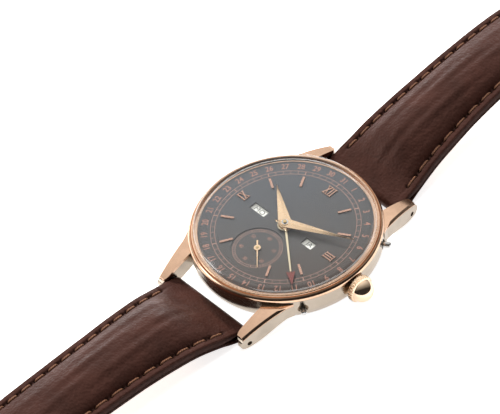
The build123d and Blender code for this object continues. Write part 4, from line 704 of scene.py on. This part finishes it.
def build_lining(name, spine, side, has_buckle):
    """Build the lining under the top leather, from the end of the fold."""
    height = curve_through(spine)
    last = LINING_BUCKLE_Y if has_buckle else TAIL_Y - LINING_TAIL_GAP
    ys = np.arange(FOLD_Y, last, ROW_STEP)
    if not has_buckle:
        tip = TAIL_CURVE_Y + (last - TAIL_CURVE_Y) * np.sin(np.linspace(0, math.pi / 2, 30))
        ys = np.concatenate((ys[ys < TAIL_CURVE_Y], tip))
    half = LINING_COLUMNS // 2
    profile = [(t, LINING_LOW + (LINING_BEVEL if abs(t) == 1 else 0)) for t in np.linspace(-1, 1, half)]
    profile += [(t, LINING_HIGH) for t in np.linspace(1, -1, half)]
    vertices = []
    for y in ys:
        width = float(half_width(y)) - LINING_SIDE_GAP
        vertices += [(t * width, side * y, float(height(y)) + z) for t, z in profile]
    faces = grid_faces(len(ys), LINING_COLUMNS) + end_caps(len(ys), LINING_COLUMNS)
    back = add_mesh(name + "_lining", vertices, faces, lining)
    back.data.materials.append(leather_edge.material)
    back.data.polygons.foreach_set("material_index", [int(abs(p.normal.z) < 0.5) for p in back.data.polygons])
    return back


def stitch_form(span, rows, normals):
    """Points of one stitch, a fat thread that dives into its two holes."""
    rings = []
    for n, (x, y) in enumerate(span):
        t = n / (len(span) - 1)
        i = int(np.argmin(np.abs(rows[:, 0] - y)))
        ny, nz = normals[i]
        lift = rows[i, 2] / 2 - THREAD_SINK - THREAD_DIVE * (2 * t - 1) ** 6
        centre = np.array((x, y + ny * lift, rows[i, 1] + nz * lift))
        rings.append((centre, THREAD_R * (1 - 0.4 * (2 * t - 1) ** 8)))
    points = []
    for n, (centre, radius) in enumerate(rings):
        ahead = rings[min(n + 1, len(rings) - 1)][0] - rings[max(n - 1, 0)][0]
        ahead /= np.linalg.norm(ahead)
        beside = np.cross(ahead, (0, 0, 1))
        beside /= np.linalg.norm(beside)
        over = np.cross(beside, ahead)
        for a in np.linspace(0, 2 * math.pi, THREAD_SIDES, endpoint=False):
            points.append(centre + radius * (math.cos(a) * beside * 1.1 + math.sin(a) * over * 0.85))
    return points


def build_strap(name, spine, side, body, has_buckle):
    """Build one padded strap half with its lining and stitches; side is the sign of its y."""
    rows = leather_rows(spine, has_buckle)
    normals = outward_normals(rows)
    spans = [span for line in stitch_lines(has_buckle) for span in stitch_spans(line)]
    holes = np.array([span[i] for span in spans for i in (0, -1)])
    skin = build_skin(name, rows, normals, side, holes)
    back = build_lining(name, spine, side, has_buckle)
    on_top = rows[:, 3] > 0.5
    stitches = Mesh()
    for span in spans:
        points = stitch_form(span, rows[on_top], normals[on_top])
        stitches.add([(x, side * y, z) for x, y, z in points],
                     grid_faces(len(span), THREAD_SIDES) + end_caps(len(span), THREAD_SIDES))
    stitches.finish(name + "_stitches", thread, body, "leather", True)
    for piece, slot_name, replaced in ((skin, "leather", name), (back, "lining", name + "_lining")):
        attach(piece, body)
        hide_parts(replaced)
    return skin, back


def cut(piece, cutter):
    """Cut the cutter's form out of a piece and keep the result as its mesh."""
    modifier = piece.modifiers.new("cut", "BOOLEAN")
    modifier.object = cutter
    modifier.operation = "DIFFERENCE"
    modifier.solver = "EXACT"
    result = bpy.data.meshes.new_from_object(piece.evaluated_get(bpy.context.evaluated_depsgraph_get()))
    piece.modifiers.remove(modifier)
    piece.data = result


def punch(outlines, high, *pieces):
    """Cut upright holes with the given outlines through pieces, up to a height."""
    forms = Mesh()
    for outline in outlines:
        forms.slab(outline, PUNCH_LOW, high)
    cutter = add_mesh("punch", forms.vertices, forms.faces, leather_edge)
    for piece in pieces:
        cut(piece, cutter)
    bpy.data.objects.remove(cutter)


leather = Surface("strap_leather", (0.034, 0.0112, 0.0078), specular_ior_level=0.36,
                  specular_tint=(1.0, 0.62, 0.52, 1))
mottle = leather.noise(5.0, 5, rough=0.6)
hide = leather.colour(mottle, (0.3, (0.026, 0.0083, 0.0056)), (0.55, (0.038, 0.0125, 0.0086)),
                      (0.75, (0.050, 0.0172, 0.0122)))
# This vertex attribute paints shade into the base colour, darkening the stitch groove and the stitch holes.
stitch_shade = leather.add("ShaderNodeAttribute", attribute_name="stitch_shade").outputs["Fac"]
shaded_hide = leather.add("ShaderNodeMix", {0: stitch_shade, 6: hide, 7: (0.008, 0.004, 0.003, 1)}, data_type="RGBA")
leather.tree.links.new(shaded_hide.outputs[2], leather.shader.inputs["Base Color"])
leather.rough(leather.noise(0.9, 4), 0.36, 0.52)
leather.bump(leather.cells(0.5), 0.05)
leather.bump(leather.noise(1.6, 6, twist=1.5), 0.09)
creases = leather.noise(2.4, 4, leather.moved(scale=(0.45, 1, 1)), twist=2.0)
leather.bump(creases, 0.10)
leather_edge = Surface("strap_edge", (0.03, 0.012, 0.009), roughness=0.8, specular_ior_level=0.12,
                       specular_tint=(1.0, 0.7, 0.6, 1))
leather_edge.colour(leather_edge.noise(0.8, 4), (0.3, (0.020, 0.008, 0.006)), (0.7, (0.038, 0.016, 0.012)))
leather_edge.bump(leather_edge.noise(0.3, 4), 0.02)
lining = Surface("lining_leather", (0.30, 0.16, 0.085), roughness=0.6)
lining.colour(lining.noise(3.0, 5), (0.3, (0.25, 0.13, 0.068)), (0.7, (0.34, 0.19, 0.105)))
lining.rough(lining.noise(0.5, 3), 0.5, 0.7)
lining.bump(lining.cells(0.35), 0.02)
thread = Surface("strap_thread", (0.16, 0.07, 0.038), roughness=0.65)
twist = thread.add("ShaderNodeTexWave", {"Vector": thread.moved(scale=(1000, 1000, 1000)), "Scale": 1.6,
                                         "Distortion": 1.0}, bands_direction="DIAGONAL").outputs["Fac"]
thread.colour(twist, (0.1, (0.11, 0.046, 0.024)), (0.8, (0.22, 0.10, 0.052)))
thread.bump(twist, 0.03)

long_skin, long_back = build_strap("strap_long", LONG_SPINE, -1, "strap_6", False)
short_skin, _ = build_strap("strap_short", SHORT_SPINE, 1, "strap_12", True)

hole_outlines = []
for hole in range(HOLE_COUNT):
    hole_y = -(HOLE_FIRST_Y + HOLE_PITCH * hole)
    turns = np.linspace(0, 2 * math.pi, 24, endpoint=False)
    hole_outlines.append([(HOLE_R * math.cos(a), hole_y + HOLE_R * math.sin(a)) for a in turns])
punch(hole_outlines, 12, long_skin, long_back)
punch([TONGUE_SLOT], 8, short_skin)


# ------------------------------------------------------------------------ keepers
KEEPER_SLOPE = math.radians(-14.6)
KEEPER_INNER, KEEPER_LOW, KEEPER_HIGH, KEEPER_CORNER = 7.45, -1.45, 3.7, 0.6
KEEPER_WALL, KEEPER_WIDTH = 1.0, 4.5


def build_keeper(name, centre, body):
    """Build a leather loop with rounded edges and corners, tilted along the strap."""
    right_x = KEEPER_INNER - KEEPER_CORNER
    top_z, low_z = KEEPER_HIGH - KEEPER_CORNER, KEEPER_LOW + KEEPER_CORNER
    path = []
    for cx, cz, first in ((right_x, top_z, 0), (-right_x, top_z, 90), (-right_x, low_z, 180),
                          (right_x, low_z, 270)):
        for a in np.radians(np.linspace(first, first + 90, 9)):
            path.append((cx, cz, math.cos(a), math.sin(a)))
    section = []
    for a in np.linspace(0, 2 * math.pi, 24, endpoint=False):
        c, s = math.cos(a), math.sin(a)
        section.append((math.copysign(abs(c) ** 0.5, c) * KEEPER_WALL / 2,
                        math.copysign(abs(s) ** 0.28, s) * KEEPER_WIDTH / 2))
    vertices = []
    for cx, cz, nx, nz in path:
        for out_by, y in section:
            r = KEEPER_CORNER + KEEPER_WALL / 2 + out_by
            z = cz + nz * r
            vertices.append((cx + nx * r, centre[0] + y * math.cos(KEEPER_SLOPE) - z * math.sin(KEEPER_SLOPE),
                             centre[1] + y * math.sin(KEEPER_SLOPE) + z * math.cos(KEEPER_SLOPE)))
    loop = add_mesh(name + "_leather", vertices, grid_faces(len(path), len(section), closed=True), leather)
    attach(loop, body)
    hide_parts(name)


build_keeper("fixed_keeper", (86.4, 2.85), "strap_12")
build_keeper("free_keeper", (79.0, 4.79), "keeper")

# -------------------------------------------------------------------------- floor
floor_paint = Surface("floor", (0.86, 0.86, 0.86), roughness=0.6)
floor_paint.shader.inputs["Emission Color"].default_value = (1, 1, 1, 1)
floor_paint.shader.inputs["Emission Strength"].default_value = 0.8
floor_paint.colour(floor_paint.noise(60, 2), (0.3, (0.85, 0.85, 0.85)), (0.7, (0.88, 0.88, 0.88)))
FLOOR_REACH, FLOOR_Z = 3000, -0.05
floor_corners = [(x * FLOOR_REACH, y * FLOOR_REACH, FLOOR_Z) for x, y in ((-1, -1), (1, -1), (1, 1), (-1, 1))]
floor = add_mesh("floor", floor_corners, [(0, 1, 2, 3)], floor_paint, False)
